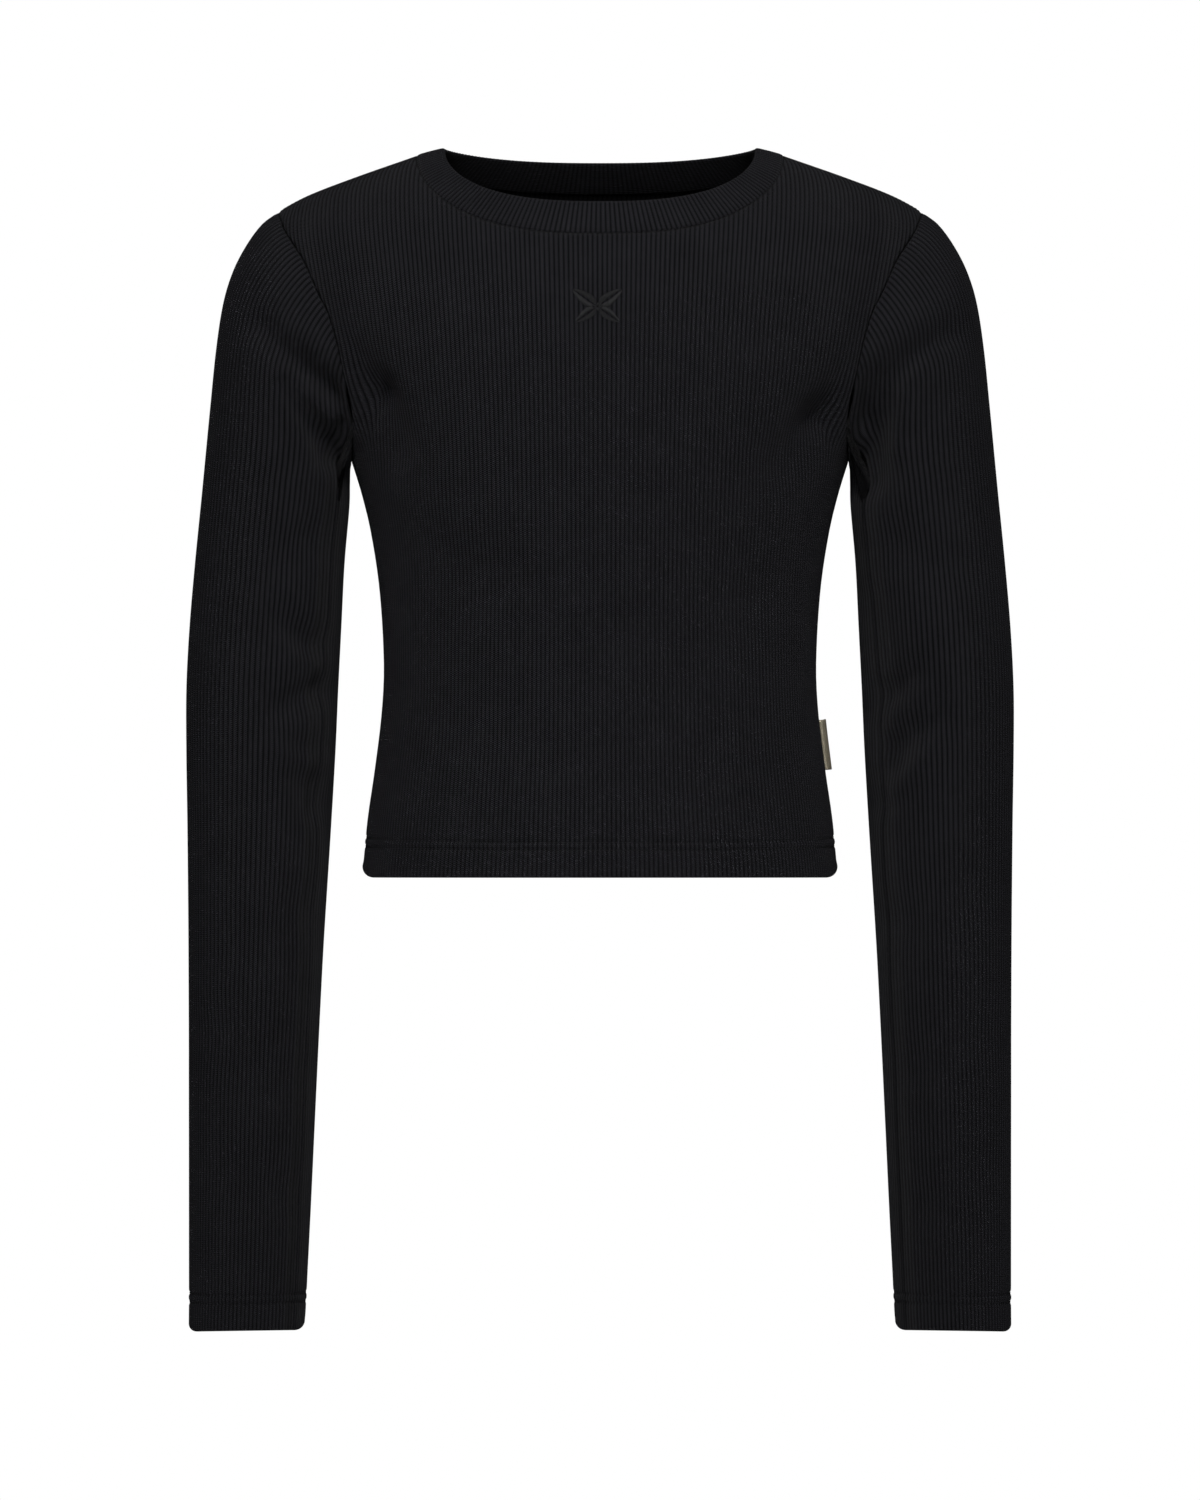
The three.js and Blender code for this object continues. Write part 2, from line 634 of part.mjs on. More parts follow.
// A small folded tab that is caught in the side seam and lies back beside it.
function sideLabel() {
  const label = { top: -286, height: 25, reach: 10, lift: 2.3, thickness: 1 };
  const rows = 3;
  const above = lowerRows.find((z) => z > label.top);
  const below = lowerRows.findLast((z) => z < label.top - label.height);
  const slope = (sideHalf(above) - sideHalf(below)) / (above - below);
  const grid = (offset) => {
    const lines = [];
    for (let i = 0; i < rows; i += 1) {
      const z = label.top - label.height * (1 - i / (rows - 1));
      const root = sideHalf(below) + slope * (z - below) + ribRaise + seamGap;
      lines.push([
        { at: 0, point: new THREE.Vector3(root + offset, seamGap, z) },
        { at: 1, point: new THREE.Vector3(root + label.lift + offset, label.reach, z) },
      ]);
    }
    return lines;
  };
  const heights = [0, 1, 2];
  return wall(grid(label.thickness), grid(0), heights, heights, false);
}

const ribKnit = { color: 0x1d1e21, roughness: 0.92, metalness: 0 };
const goldWeave = { color: 0xa98545, roughness: 0.45, metalness: 0.55 };

function addPiece(group, name, solid, finish) {
  const mesh = solid.getMesh();
  let geometry = new THREE.BufferGeometry();
  geometry.setAttribute('position', new THREE.BufferAttribute(new Float32Array(mesh.vertProperties), 3));
  geometry.setIndex(new THREE.BufferAttribute(new Uint32Array(mesh.triVerts), 1));
  geometry = mergeVertices(geometry, 1e-3);
  const index = geometry.getIndex().array;
  const kept = [];
  for (let i = 0; i < index.length; i += 3) {
    const [a, b, c] = [index[i], index[i + 1], index[i + 2]];
    if (a !== b && b !== c && c !== a) kept.push(a, b, c);
  }
  geometry.setIndex(kept);
  geometry.computeVertexNormals();
  const piece = new THREE.Mesh(geometry, new THREE.MeshStandardMaterial(finish));
  piece.name = name;
  group.add(piece);
}

const group = new THREE.Group();
addPiece(group, 'front', panel(-1), ribKnit);
addPiece(group, 'back', panel(1), ribKnit);
addPiece(group, 'sleeve_left', sleeve(1), ribKnit);
addPiece(group, 'sleeve_right', sleeve(-1), ribKnit);
addPiece(group, 'neckband', neckband(), ribKnit);
addPiece(group, 'side_label', sideLabel(), goldWeave);

export default group;
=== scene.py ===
import math
import bmesh
import bpy
import numpy as np
from mathutils import Matrix, Vector


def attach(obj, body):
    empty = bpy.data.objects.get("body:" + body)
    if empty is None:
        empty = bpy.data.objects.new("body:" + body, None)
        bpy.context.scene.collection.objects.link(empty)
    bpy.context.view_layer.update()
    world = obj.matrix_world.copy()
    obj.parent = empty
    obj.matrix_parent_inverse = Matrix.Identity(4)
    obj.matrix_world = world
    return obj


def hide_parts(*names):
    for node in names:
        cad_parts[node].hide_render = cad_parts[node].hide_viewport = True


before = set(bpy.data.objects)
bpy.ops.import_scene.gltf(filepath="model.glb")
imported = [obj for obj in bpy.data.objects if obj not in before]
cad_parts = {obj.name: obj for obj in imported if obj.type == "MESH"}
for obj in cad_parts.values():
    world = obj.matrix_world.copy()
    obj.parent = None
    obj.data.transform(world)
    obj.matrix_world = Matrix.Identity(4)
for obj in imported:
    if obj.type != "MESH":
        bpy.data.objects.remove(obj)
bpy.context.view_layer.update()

scene = bpy.context.scene
millimetre = 0.001

# Sizes below are in millimetres, x to the wearer's left, z up from the high points of the shoulders
knit = {
    "wall": 1.1,          # cloth thickness
    "hem": 2.2,           # turned hem and cuffs
    "ribPitch": 2.2,      # relaxed rib at the waist
    "ribHeight": 0.5,
    "stepsPerRib": 4,     # columns of points across one rib
    "seamDip": 0.38,      # how deep a seam sinks between two panels
    "foldScale": 1.45,
    "seamReach": 1.5,
}
landmarks = {
    "hemLevel": -364.5,
    "underarmX": 123.6, "underarmZ": -157.0,
    "tipX": 160.5, "tipZ": -33.0,
    "armholeReach": 48.0, "armholeEgg": 0.15,
    "topOfBody": -1.0,
}
# The neckband's seam and its upper edge, with their drop in front (-1) and behind
neckline = {"half": 91.5, "level": -4.4, "drop": {-1: 39.6, 1: 17.4}, "across": 2.6,
            "down": {-1: 1.85, 1: 1.85}}
bandEdge = {"half": 77.3, "level": -0.6, "drop": {-1: 27.4, 1: 6.0}, "across": 2.6,
            "down": {-1: 2.0, 1: 1.15}}
# A lower edge hangs deeper at its sides, is rounded at the corners and eases out up the cloth
bodyEdge = {"rise": 4.7, "fall": 5.26, "corner": 5.2}
cuffEdge = {"rise": 3.7, "fall": 3.2, "corner": 3.4, "inner": 0.8}

# Half width at the side seams and the shoulder seams, (level, half)
sideSeam = [(-364.5, 118.6), (-341, 116.2), (-311, 112.2), (-281, 108.7), (-258, 107.7),
            (-221, 109.8), (-191, 114.3), (-171, 119.2), (-157, 123.6)]
shoulderSeam = [(-33, 160.5), (-30.5, 157.6), (-23.5, 144.3), (-15, 122.4), (-5, 93.8), (0, 79.5)]
armholeSeam = [(-157, 123.6), (-147, 122.8), (-130, 123.2), (-113, 126.8), (-98, 130),
               (-83, 134.6), (-73, 139.6), (-58, 146.4), (-42, 156.6), (-33, 160.5)]
# Depth of the body in front and behind, and how square its section is, (level, front, back, power)
bodyDepths = [(-364.5, 90, 84, 2.3), (-311, 88, 78, 2.28), (-258, 86, 73, 2.25), (-206, 88, 76, 2.22),
              (-157, 90, 80, 2.2), (-130, 89.5, 83, 2.13), (-100, 87, 84, 2.05), (-70, 80, 79, 1.9),
              (-45, 70, 68.5, 1.74), (-33, 63, 60.5, 1.66), (-15, 48, 45, 1.6), (0, 31, 29, 1.6)]
knitStretch = [(-364.5, 1.05), (-330, 1.02), (-250, 0.98), (-157, 1), (-100, 1.035), (-45, 1.09), (0, 1.14)]
# Sleeve rings: outer and inner point as seen from the front, depth, forward bend, share of the armhole
sleeveRings = [
    (160.5, -33, 123.6, -157, 48, 0, 1), (168.3, -38.8, 124.2, -157.6, 47.4, 0, 0.8),
    (175.8, -48.8, 124.5, -158.4, 46.6, 0, 0.55), (182.4, -61.3, 124.7, -159.3, 45.6, 0, 0.32),
    (187.3, -76.5, 124.9, -160.6, 44.6, 0, 0.14), (190.9, -98.5, 125, -162.8, 43.4, -0.3, 0.04),
    (194.1, -129, 125.1, -168.5, 42, -0.8, 0), (198.2, -171, 125.4, -180, 40.8, -1.6, 0),
    (201.9, -208, 127.8, -208, 40, -3, 0), (204.6, -240, 129.4, -240, 39, -4.8, 0),
    (206.1, -270, 130.9, -270, 38, -6.6, 0), (206.1, -300, 132.2, -300, 37, -8.6, 0),
    (205.5, -340, 134.5, -340, 35.6, -11, 0), (204.9, -410, 138.8, -410, 33.4, -15, 0),
    (204.7, -573, 146.6, -573, 28.7, -22.2, 0), (204.8, -591, 147.6, -591, 28.4, -23, 0),
]

# Folds seen from the front (-1) or the back: face, width, depth (a ridge is negative), then
# x and z of the points it runs through, deepest at the first
bodyFolds = [
    (-1, 13, 8.4, (-113, -130), (-101, -150)), (-1, 10, 5.0, (-112, -120), (-122, -104)),
    (-1, 14, 8.6, (110, -140), (92, -157)), (-1, 9, 3.6, (112, -134), (118, -118)),
    (-1, 10, 1.5, (112, -176), (104, -196)),
    (-1, 20, 1.6, (-60, -214), (-100, -196)), (-1, 18, 1.4, (70, -226), (104, -206)),
    (-1, 16, -1.1, (-84, -172), (-60, -190)), (-1, 22, 1.3, (-30, -300), (-86, -288)),
    (-1, 22, 1.2, (20, -318), (78, -300)),
    (1, 13, 3.4, (-114, -118), (-102, -144)), (1, 14, 3.4, (115, -116), (100, -148)),
    (1, 22, 1.6, (-40, -220), (-98, -200)), (1, 22, 1.6, (50, -214), (100, -196)),
]
sleeveFolds = [
    (-1, 7, 6.4, (-131, -124), (-151, -106), (-168, -90)), (-1, 5.5, -2.2, (-131, -134), (-156, -114)),
    (-1, 6, 5.0, (-133, -156), (-138.7, -143.6), (-155, -118.7)), (-1, 3.4, 4.0, (-127, -137), (-131.6, -147)),
    (-1, 8, 4.4, (-142, -247), (-160, -233)), (-1, 8, 4.6, (-138, -270), (-158, -279)),
    (-1, 9, 4.4, (-139, -327), (-147, -301)), (-1, 6, -2.4, (-143, -307), (-165, -298)),
    (-1, 12, 2.4, (-146, -196), (-172, -214)), (-1, 14, 2.0, (-150, -380), (-176, -398)),
    (-1, 15, 1.8, (-186, -442), (-160, -462)), (-1, 12, 1.6, (-160, -520), (-182, -508)),
    (-1, 8.5, 6.6, (132.3, -166), (134.5, -144), (141, -119), (154, -105), (174, -93)),
    (-1, 5, 3.6, (129.5, -139), (130, -114)), (-1, 6, -1.8, (147, -150), (152, -118), (168, -103)),
    (-1, 10, 3.8, (134, -279), (138, -250), (134, -226)), (-1, 7, 3.6, (142, -272), (157, -260)),
    (-1, 8, 4.4, (144, -296), (168, -282)), (-1, 6, -2.4, (144, -319), (167, -299)),
    (-1, 8, 4.4, (136, -326), (146, -305)), (-1, 12, 2.2, (150, -196), (176, -210)),
    (-1, 14, 2.0, (152, -384), (180, -368)), (-1, 15, 1.8, (162, -456), (190, -440)),
    (-1, 12, 1.6, (166, -524), (186, -508)),
    (1, 8, 4.6, (-130, -126), (-148, -108), (-164, -94)), (1, 8, 3.6, (-134, -156), (-152, -124)),
    (1, 10, 3.8, (-140, -252), (-164, -238)), (1, 10, 3.8, (-140, -296), (-166, -310)),
    (1, 13, 2.0, (-152, -392), (-178, -376)),
    (1, 8, 4.6, (131, -132), (144, -110), (166, -94)), (1, 8, 3.4, (135, -160), (154, -126)),
    (1, 10, 3.8, (139, -262), (164, -250)), (1, 10, 3.6, (142, -306), (168, -294)),
    (1, 13, 2.0, (156, -400), (182, -384)),
]


def curve(points):
    # a piecewise cubic through (level, value) points, straight past its ends
    points = sorted(points)
    level = np.array([p[0] for p in points], float)
    value = np.array([p[1] for p in points], float)
    low = np.maximum(np.arange(len(level)) - 1, 0)
    high = np.minimum(np.arange(len(level)) + 1, len(level) - 1)
    slope = (value[high] - value[low]) / (level[high] - level[low])

    def at(z):
        z = np.asarray(z, float)
        i = np.clip(np.searchsorted(level, z, side="right") - 1, 0, len(level) - 2)
        span = level[i + 1] - level[i]
        t = (z - level[i]) / span
        inside = np.clip(t, 0, 1)
        rise = value[i + 1] - value[i]
        bow = (1 - inside) * (slope[i] * span - rise) - inside * (slope[i + 1] * span - rise)
        past = (t - inside) * span * np.where(t > inside, slope[-1], slope[0])
        return value[i] + inside * rise + inside * (1 - inside) * bow + past
    return at


def smoothStep(value, low, high):
    t = np.clip((value - low) / (high - low), 0, 1)
    return t * t * (3 - 2 * t)


sideHalf = curve(sideSeam)
shoulderHalf = curve(shoulderSeam)
armholeX = curve(armholeSeam)
depthOf = {-1: curve([(r[0], r[1]) for r in bodyDepths]), 1: curve([(r[0], r[2]) for r in bodyDepths])}
powerAt = curve([(r[0], r[3]) for r in bodyDepths])
stretchAt = curve(knitStretch)
armholeMiddle = (landmarks["tipZ"] + landmarks["underarmZ"]) / 2
armholeHalf = (landmarks["tipZ"] - landmarks["underarmZ"]) / 2


def armholeDepth(cosine):
    cosine = np.clip(cosine, -1, 1)
    return landmarks["armholeReach"] * np.sqrt(1 - cosine ** 2) * (1 - landmarks["armholeEgg"] * cosine)


def halfOf(face, z):
    z = np.asarray(z, float)
    power = powerAt(z)
    reach = armholeDepth((z - armholeMiddle) / armholeHalf) / depthOf[face](z)
    past = armholeX(z) / (1 - np.clip(reach, 0, 0.98) ** power) ** (1 / power)
    return np.where(z >= landmarks["tipZ"], shoulderHalf(z), np.where(z <= landmarks["underarmZ"], sideHalf(z), past))


def sectionTables(face):
    # angle along each level's section by share of its length, and the length up to the panel's edge
    levels = np.arange(-370, 2, 1.0)
    angles = np.linspace(0, math.pi / 2, 601)
    shares = np.linspace(0, 1, 401)
    angleAt, length, edge = [], [], []
    for z in levels:
        power, half = float(powerAt(z)), float(halfOf(face, z))
        x = half * np.sin(angles) ** (2 / power)
        y = float(depthOf[face](z)) * np.clip(np.cos(angles), 0, 1) ** (2 / power)
        along = np.concatenate([[0], np.cumsum(np.hypot(np.diff(x), np.diff(y)))])
        angleAt.append(np.interp(shares * along[-1], along, angles))
        length.append(along[-1])
        inArmhole = landmarks["underarmZ"] < z < landmarks["tipZ"]
        edge.append(np.interp(float(armholeX(z)), x, along) if inArmhole else along[-1])
    return {"levels": levels, "angleAt": np.array(angleAt), "length": np.array(length), "edge": np.array(edge)}


sections = {face: sectionTables(face) for face in (-1, 1)}


def ribsTo(face, z, name):
    table = sections[face]
    return np.interp(z, table["levels"], table[name]) / (knit["ribPitch"] * stretchAt(z))


def foldDepth(folds, face, x, z):
    depth = np.zeros(np.broadcast(x, z).shape)
    for side, width, deep, *points in folds:
        nearest = np.full(depth.shape, 1e9)
        share = np.zeros(depth.shape)
        for i, ((x1, z1), (x2, z2)) in enumerate(zip(points, points[1:])):
            dx, dz = x2 - x1, z2 - z1
            t = np.clip(((x - x1) * dx + (z - z1) * dz) / (dx * dx + dz * dz), 0, 1)
            away = np.hypot(x - x1 - t * dx, z - z1 - t * dz)
            share = np.where(away < nearest, (i + t) / (len(points) - 1), share)
            nearest = np.minimum(nearest, away)
        depth += np.where(face == side, knit["foldScale"] * deep * (1 - 0.45 * share) * np.exp(-(nearest / width) ** 2), 0)
    return depth


def edgeLift(height, sideways, inset, edge):
    # how far a point near a lower edge is moved up; sideways is 1 at the side and 0 in the middle
    lift = edge["rise"] * (1 - smoothStep(height, 0, 75)) - edge["fall"] * sideways * np.clip(1 - height / 28, 0, 1)
    round_ = edge["corner"] - np.sqrt(edge["corner"] ** 2 - np.clip(edge["corner"] - inset, 0, edge["corner"]) ** 2)
    return lift + round_ * (1 - smoothStep(height, 0, 9))


def bodyNormal(face, x, y, z):
    def inside(level):
        power = powerAt(level)
        return (np.abs(x) / halfOf(face, level)) ** power + (np.abs(y) / depthOf[face](level)) ** power
    power, half, depth = powerAt(z), halfOf(face, z), depthOf[face](z)
    normal = np.stack([
        np.sign(x) * (np.abs(x) / half) ** (power - 1) / half,
        face * (np.abs(y) / depth) ** (power - 1) / depth,
        (inside(z + 1) - inside(z - 1)) / 2 / power,
    ], axis=-1)
    return normal / np.linalg.norm(normal, axis=-1, keepdims=True)


def bodySurface(face, rib, z):
    # a point of the outside without its ribs, by rib number and level, and its normal
    table = sections[face]
    level = np.clip(z - table["levels"][0], 0, len(table["levels"]) - 1.001)
    row = level.astype(int)
    t = level - row
    length = np.interp(z, table["levels"], table["length"])
    share = np.clip(np.abs(rib) * knit["ribPitch"] * stretchAt(z) / length, 0, 1) * 400
    column = np.clip(share.astype(int), 0, 399)
    s = share - column
    lower = table["angleAt"][row, column] * (1 - s) + table["angleAt"][row, column + 1] * s
    upper = table["angleAt"][row + 1, column] * (1 - s) + table["angleAt"][row + 1, column + 1] * s
    angle = lower * (1 - t) + upper * t
    power = powerAt(z)
    x = np.sign(rib) * halfOf(face, z) * np.sin(angle) ** (2 / power)
    y = face * depthOf[face](z) * np.clip(np.cos(angle), 0, 1) ** (2 / power)
    normal = bodyNormal(face, x, y, z)
    # the folds end before the armhole and the side seam
    edge = np.where(z > landmarks["underarmZ"], armholeX(z), sideHalf(z))
    sunk = foldDepth(bodyFolds, face, x, z) * np.abs(normal[..., 1]) * smoothStep(edge - np.abs(x), 0.5, 8)
    place = np.stack([x, y, z], axis=-1) - normal * sunk[..., None]
    sideways = 1 - np.abs(y) / depthOf[face](z)
    place[..., 2] += edgeLift(z - landmarks["hemLevel"], sideways, sideHalf(z) - np.abs(x), bodyEdge)
    return place, normal


def neckLevel(edge, face, share):
    rise = np.clip(1 - np.abs(share) ** edge["across"], 0, 1)
    return edge["level"] - edge["drop"][face] * rise ** (1 / edge["down"][face])


def topOfRib(face, rib, margin):
    # the level where a rib ends, on the shoulder seam or at the neckline
    number = np.abs(rib)
    low = np.full(number.shape, -80.0)
    high = np.full(number.shape, landmarks["topOfBody"])
    for step in range(26):
        middle = (low + high) / 2
        x = np.abs(bodySurface(face, number, middle)[0][..., 0])
        neck = neckLevel(neckline, face, np.clip(x / neckline["half"], 0, 1)) + margin
        below = (number <= ribsTo(face, middle, "length")) & (middle <= neck)
        low, high = np.where(below, middle, low), np.where(below, high, middle)
    onTip = number >= ribsTo(face, np.array(landmarks["tipZ"]), "length")
    return np.where(onTip, landmarks["tipZ"], low)


def ribCrest(rib):
    return np.abs(np.cos(math.pi * rib))


def gridObject(name, place, uv, material, inside=None):
    # one sheet of points, row by row, made from a grid whose corners are then set; inside is 1 on the wrong side, where
    # the knit's colour is darkened as painted shade
    rows, columns = place.shape[:2]
    bm = bmesh.new()
    bmesh.ops.create_grid(bm, x_segments=columns - 1, y_segments=rows - 1, size=1, calc_uvs=True)
    mesh = bpy.data.meshes.new(name)
    bm.to_mesh(mesh)
    flat = np.empty(len(mesh.vertices) * 3)
    mesh.vertices.foreach_get("co", flat)
    flat = flat.reshape(-1, 3)
    column = np.rint((flat[:, 0] + 1) / 2 * (columns - 1)).astype(int)
    row = np.rint((flat[:, 1] + 1) / 2 * (rows - 1)).astype(int)
    mesh.vertices.foreach_set("co", (place[row, column] * millimetre).astype(np.float32).ravel())
    if inside is not None:
        mark = mesh.attributes.new("inside", "FLOAT", "POINT")
        mark.data.foreach_set("value", inside[row].astype(np.float32))
    if not mesh.uv_layers:
        mesh.uv_layers.new(name="UVMap")
    corner = np.empty(len(mesh.loops), int)
    mesh.loops.foreach_get("vertex_index", corner)
    layer = mesh.uv_layers[0]
    layer.data.foreach_set("uv", uv[row[corner], column[corner]].astype(np.float32).ravel())
    bm.free()
    bm = bmesh.new()
    bm.from_mesh(mesh)
    bmesh.ops.remove_doubles(bm, verts=bm.verts, dist=3e-6)
    for f in bm.faces:
        f.smooth = True
    bm.to_mesh(mesh)
    bm.free()
    mesh.materials.append(material)
    made = bpy.data.objects.new(name, mesh)
    scene.collection.objects.link(made)
    return made


# Materials

def nodeTree(name):
    material = bpy.data.materials.new(name)
    material.use_nodes = True
    nodes, links = material.node_tree.nodes, material.node_tree.links
    return material, nodes, links, nodes["Principled BSDF"]


def mathNode(nodes, links, operation, first, second=None, third=None):
    node = nodes.new("ShaderNodeMath")
    node.operation = operation
    for i, value in enumerate((first, second, third)):
        if value is None:
            continue
        if isinstance(value, (int, float)):
            node.inputs[i].default_value = value
        else:
            links.new(value, node.inputs[i])
    return node.outputs[0]


ribKnit = {
    # groove is painted shade in the grooves between the ribs; crest is the cloth's own colour
    "groove": (0.0042, 0.0042, 0.005, 1), "crest": (0.034, 0.0338, 0.0398, 1), "paintedInsideShade": 0.34,
    "roughness": 0.92, "sheen": 0.04, "sheenRoughness": 0.4,
    "course": 0.95,       # height of one knitted row
    "stitchBump": 0.16, "fuzzBump": 0.12,
}


def knitMaterial(name, settings):
    material, nodes, links, shader = nodeTree(name)
    uv = nodes.new("ShaderNodeUVMap")
    split = nodes.new("ShaderNodeSeparateXYZ")
    links.new(uv.outputs[0], split.inputs[0])
    rib, along = split.outputs[0], split.outputs[1]
    across = mathNode(nodes, links, "FRACT", mathNode(nodes, links, "ADD", rib, 0.5))
    fromCrest = mathNode(nodes, links, "ABSOLUTE", mathNode(nodes, links, "SUBTRACT", across, 0.5))
    crest = mathNode(nodes, links, "COSINE", mathNode(nodes, links, "MULTIPLY", fromCrest, math.pi))
    # each stitch is a small V on its rib
    leaning = mathNode(nodes, links, "MULTIPLY_ADD", fromCrest, 1.5, mathNode(nodes, links, "DIVIDE", along, settings["course"]))
    stitch = mathNode(nodes, links, "SINE", mathNode(nodes, links, "MULTIPLY", leaning, 2 * math.pi))
    place = nodes.new("ShaderNodeTexCoord")
    fuzz = nodes.new("ShaderNodeTexNoise")
    fuzz.inputs["Scale"].default_value = 1700
    fuzz.inputs["Detail"].default_value = 3
    fuzz.inputs["Roughness"].default_value = 0.7
    links.new(place.outputs["Object"], fuzz.inputs["Vector"])
    patches = nodes.new("ShaderNodeTexNoise")
    patches.inputs["Scale"].default_value = 60
    patches.inputs["Detail"].default_value = 2
    links.new(place.outputs["Object"], patches.inputs["Vector"])
    # colour from the painted shade in the grooves to the crest, a little darker between the stitches as painted shade
    # too, with a little uneven dye and lint
    ribShadeAndDye = mathNode(nodes, links, "MULTIPLY_ADD", stitch, 0.10, crest)
    ribShadeAndDye = mathNode(nodes, links, "MULTIPLY_ADD", fuzz.outputs["Fac"], 0.5, mathNode(nodes, links, "SUBTRACT", ribShadeAndDye, 0.3))
    ribShadeAndDye = mathNode(nodes, links, "MULTIPLY_ADD", patches.outputs["Fac"], 0.3, mathNode(nodes, links, "SUBTRACT", ribShadeAndDye, 0.15))
    ramp = nodes.new("ShaderNodeValToRGB")
    ramp.color_ramp.elements[0].position = 0.0
    ramp.color_ramp.elements[0].color = settings["groove"]
    ramp.color_ramp.elements[1].position = 1.0
    ramp.color_ramp.elements[1].color = settings["crest"]
    links.new(ribShadeAndDye, ramp.inputs["Fac"])
    # the wrong side of the knit is flatter; its colour is darkened here as painted shade inside the garment
    mark = nodes.new("ShaderNodeAttribute")
    mark.attribute_name = "inside"
    shade = nodes.new("ShaderNodeMix")
    shade.data_type = "RGBA"
    shade.blend_type = "MULTIPLY"
    shade.inputs["B"].default_value = (settings["paintedInsideShade"],) * 3 + (1,)
    for socket, source in ((shade.inputs["Factor"], mark.outputs["Fac"]), (shade.inputs["A"], ramp.outputs["Color"])):
        links.new(source, socket)
    links.new(shade.outputs["Result"], shader.inputs["Base Color"])
    shader.inputs["Roughness"].default_value = settings["roughness"]
    shader.inputs["Sheen Weight"].default_value = settings["sheen"]
    shader.inputs["Sheen Roughness"].default_value = settings["sheenRoughness"]
    shader.inputs["Specular IOR Level"].default_value = 0.12
    height = mathNode(nodes, links, "MULTIPLY", stitch, settings["stitchBump"])
    height = mathNode(nodes, links, "MULTIPLY_ADD", fuzz.outputs["Fac"], settings["fuzzBump"], height)
    bump = nodes.new("ShaderNodeBump")
    bump.inputs["Distance"].default_value = millimetre
    bump.inputs["Strength"].default_value = 1
    links.new(height, bump.inputs["Height"])
    links.new(bump.outputs["Normal"], shader.inputs["Normal"])
    return material


# the thread is black, and its colour is darkened further as painted shade of the pressed stitch lines
thread = {"colour": (0.0036, 0.0036, 0.0042, 1), "roughness": 0.8}
satin = {"colour": (0.0095, 0.0095, 0.011, 1), "roughness": 0.42}


def threadMaterial(name, settings):
    material, nodes, links, shader = nodeTree(name)
    place = nodes.new("ShaderNodeTexCoord")
    twist = nodes.new("ShaderNodeTexWave")
    twist.inputs["Scale"].default_value = 900
    twist.inputs["Distortion"].default_value = 1.5
    links.new(place.outputs["Object"], twist.inputs["Vector"])
    # the twist's ridges are painted lighter and its hollows darker: painted highlight and shade
    ramp = nodes.new("ShaderNodeValToRGB")
    ramp.color_ramp.elements[0].color = tuple(0.6 * c for c in settings["colour"][:3]) + (1,)
    ramp.color_ramp.elements[1].color = tuple(1.7 * c for c in settings["colour"][:3]) + (1,)
    links.new(twist.outputs["Fac"], ramp.inputs["Fac"])
    links.new(ramp.outputs["Color"], shader.inputs["Base Color"])
    shader.inputs["Roughness"].default_value = settings["roughness"]
    bump = nodes.new("ShaderNodeBump")
    bump.inputs["Distance"].default_value = 0.0001
    bump.inputs["Strength"].default_value = 0.5
    links.new(twist.outputs["Fac"], bump.inputs["Height"])
    links.new(bump.outputs["Normal"], shader.inputs["Normal"])
    return material


goldWeave = {"warp": (0.96, 0.87, 0.66, 1), "weft": (0.4, 0.31, 0.17, 1), "metallic": 0.0, "roughness": 0.35}


def weaveMaterial(name, settings):
    material, nodes, links, shader = nodeTree(name)
    uv = nodes.new("ShaderNodeUVMap")
    brick = nodes.new("ShaderNodeTexBrick")
    brick.inputs["Scale"].default_value = 1
    brick.inputs["Brick Width"].default_value = 0.9
    brick.inputs["Row Height"].default_value = 0.32
    brick.inputs["Mortar Size"].default_value = 0.05
    brick.inputs["Mortar Smooth"].default_value = 0.6
    brick.inputs["Color1"].default_value = settings["warp"]
    brick.inputs["Color2"].default_value = tuple(0.8 * c for c in settings["warp"][:3]) + (1,)
    brick.inputs["Mortar"].default_value = settings["weft"]
    links.new(uv.outputs[0], brick.inputs["Vector"])
    links.new(brick.outputs["Color"], shader.inputs["Base Color"])
    shader.inputs["Metallic"].default_value = settings["metallic"]
    shader.inputs["Roughness"].default_value = settings["roughness"]
    bump = nodes.new("ShaderNodeBump")
    bump.invert = True
    bump.inputs["Distance"].default_value = 0.00015
    bump.inputs["Strength"].default_value = 0.7
    links.new(brick.outputs["Fac"], bump.inputs["Height"])
    links.new(bump.outputs["Normal"], shader.inputs["Normal"])
    return material


knitFinish = knitMaterial("ribKnit", ribKnit)
bandFinish = knitMaterial("neckRib", ribKnit)
threadFinish = threadMaterial("threadBlack", thread)
satinFinish = threadMaterial("threadSatin", satin)
weaveFinish = weaveMaterial("goldWeave", goldWeave)
print("materials ready")

# Front and back panels

panel = {
    "lowerRows": 46, "upperRows": 30,
    "hemTop": 19.0,        # height of the turned hem
    "stitchRows": (14.0, 18.0),
    "groove": 0.6,         # how deep the stitching pulls the cloth in
    "overBand": 0.2,       # how far the panel runs on under the neckband
}


def lowerLevels():
    # closer rows round the stitching, wider up the body
    hem = landmarks["hemLevel"]
    near = [1.1, 3.0, 5.5, 8.0, 11.0, 12.8, 13.5, 14.0, 14.5, 15.2, 16.0, 16.8, 17.5, 18.0, 18.5, 19.2, 20.8, 23.0]
    left = panel["lowerRows"] - len(near)
    far = np.linspace(26, landmarks["underarmZ"] - hem, left)
    return [hem + h for h in near] + [hem + h for h in far]


def upperShares():
    i = np.arange(1, panel["upperRows"] + 1) / panel["upperRows"]
    return 0.38 * i + 0.62 * (1 - np.cos(math.pi * i)) / 2


def stitchGroove(height, rows, groove):
    # the pressed lines along a double row of stitches, and the puffed edge below them
    dip = sum(groove * np.exp(-((height - r) / 0.8) ** 2) for r in rows)
    return dip - 0.12 * np.exp(-((height - sum(rows) / 2) / 1.1) ** 2)


